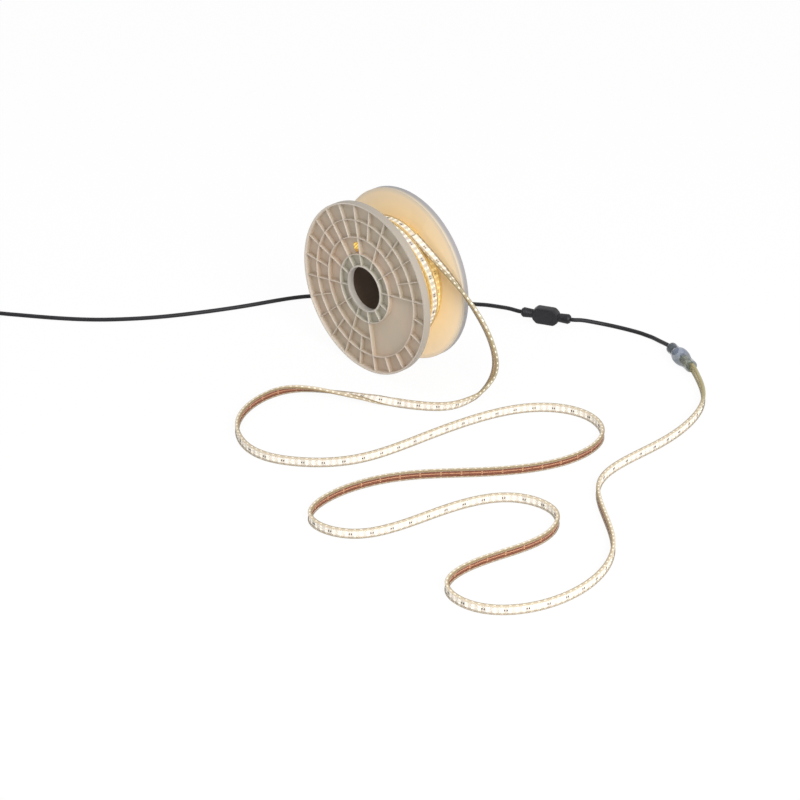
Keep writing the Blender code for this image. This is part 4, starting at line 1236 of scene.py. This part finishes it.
# the drum: its own brown, darkened as painted shade for the hollow seen through the bores
paint(plainMaterial("drumBrownAndShade", srgb(98, 77, 57), 0.6), "winding_drum")
paint(blackShell, "plug_body", "plug_relief", "coil_tie")
paint(plainMaterial("pinMetal", srgb(206, 200, 188), 0.28, 1.0), "plug_pin_left", "plug_pin_right")
print("small parts ready")


def nodesNamed(*names):
    return [frame["nodes"][name] for name in names]


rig.cord(stripPiece, exit=stripStations[0][0], length=round(stationsLength(stripStations), 2),
        diameter=strip["width"], far_end="connector", stiffness="stiff", lay="loose",
        path=[s[0] for s in stripStations], with_pieces=connectorPieces)
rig.cord(feedCord, exit=feedStations[0][0], length=round(stationsLength(feedStations), 2),
        diameter=2 * cord["radius"], far_end="fitting", stiffness="medium", lay="loose",
        path=[s[0] for s in feedStations], with_pieces=[boxPiece, *reliefPieces, *nodesNamed(
            "rectifier_board", "bridge_rectifier", "filter_capacitor", "fuse")])
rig.cord(mainsCord, exit=mainsStations[0][0], length=round(stationsLength(mainsStations), 2),
        diameter=2 * cord["radius"], far_end="plug", stiffness="medium", lay="loose",
        path=[s[0] for s in mainsStations], with_pieces=nodesNamed(
            "coil_tie", "plug_relief", "plug_body", "plug_pin_left", "plug_pin_right"))


# the studio: a pale floor that the eye sees white but for a share of its shading, and two soft lamps
studio = {"world": 0.64, "shadowShare": 0.06, "floor": 0.9, "floorSize": 12, "lamps": (
    ("keyLamp", (2.7, -0.7, 1.7), 1.6, 74.0, (1.0, 0.99, 0.97)),
    ("topLamp", (-0.6, -1.0, 3.2), 2.6, 22.0, (0.97, 0.98, 1.0)))}


def rays(tree, *kinds):  # 1 for the kinds of ray named
    node = tree.nodes.new("ShaderNodeLightPath")
    found = [Wire(tree, node.outputs["Is %s Ray" % kind]) for kind in kinds]
    total = found[0]
    for wire in found[1:]:
        total = total.math("MAXIMUM", wire)
    return total


def makeFloor():
    bm = bmesh.new()
    bmesh.ops.create_grid(bm, x_segments=1, y_segments=1, size=studio["floorSize"])
    ground = looseObject(bm, "floor")
    f = Finish("floorPaper")
    f.put(base_color=(studio["floor"],) * 3, roughness=0.8)
    ground.data.materials.append(f.material)
    white = f.add("ShaderNodeEmission", {}, {"Color": (1.0, 1.0, 1.0), "Strength": 1.0})
    blend = f.tree.nodes.new("ShaderNodeMixShader")
    f.feed(blend.inputs[0], rays(f.tree, "Camera", "Glossy", "Transmission") * (1.0 - studio["shadowShare"]))
    f.tree.links.new(f.shader.outputs[0], blend.inputs[1])
    f.tree.links.new(white.socket, blend.inputs[2])
    f.tree.links.new(blend.outputs[0], f.tree.nodes["Material Output"].inputs[0])
    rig.stage(ground)


def makeLight():
    world = bpy.data.worlds.new("studio")
    bpy.context.scene.world = world
    world.use_nodes = True
    tree = world.node_tree
    background = tree.nodes["Background"]
    background.inputs["Color"].default_value = (1, 1, 1, 1)
    strength = rays(tree, "Camera", "Glossy", "Transmission") * (1.0 - studio["world"]) + studio["world"]
    tree.links.new(strength.socket, background.inputs["Strength"])
    for name, spot, size, power, colour in studio["lamps"]:
        lamp = bpy.data.lights.new(name, "AREA")
        lamp.shape = "DISK"
        lamp.size = size
        lamp.energy = power
        lamp.color = colour
        holder = bpy.data.objects.new(name, lamp)
        holder.location = spot
        holder.rotation_euler = (-Vector(spot)).to_track_quat("-Z", "Y").to_euler()
        bpy.context.scene.collection.objects.link(holder)


makeFloor()
makeLight()
bpy.context.scene.view_settings.view_transform = "Standard"
boxes = {"cad": [list(corner) for corner in cadBox], "visual": [list(corner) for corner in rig.bounds()]}
with open("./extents.json", "w") as out:
    json.dump(boxes, out)
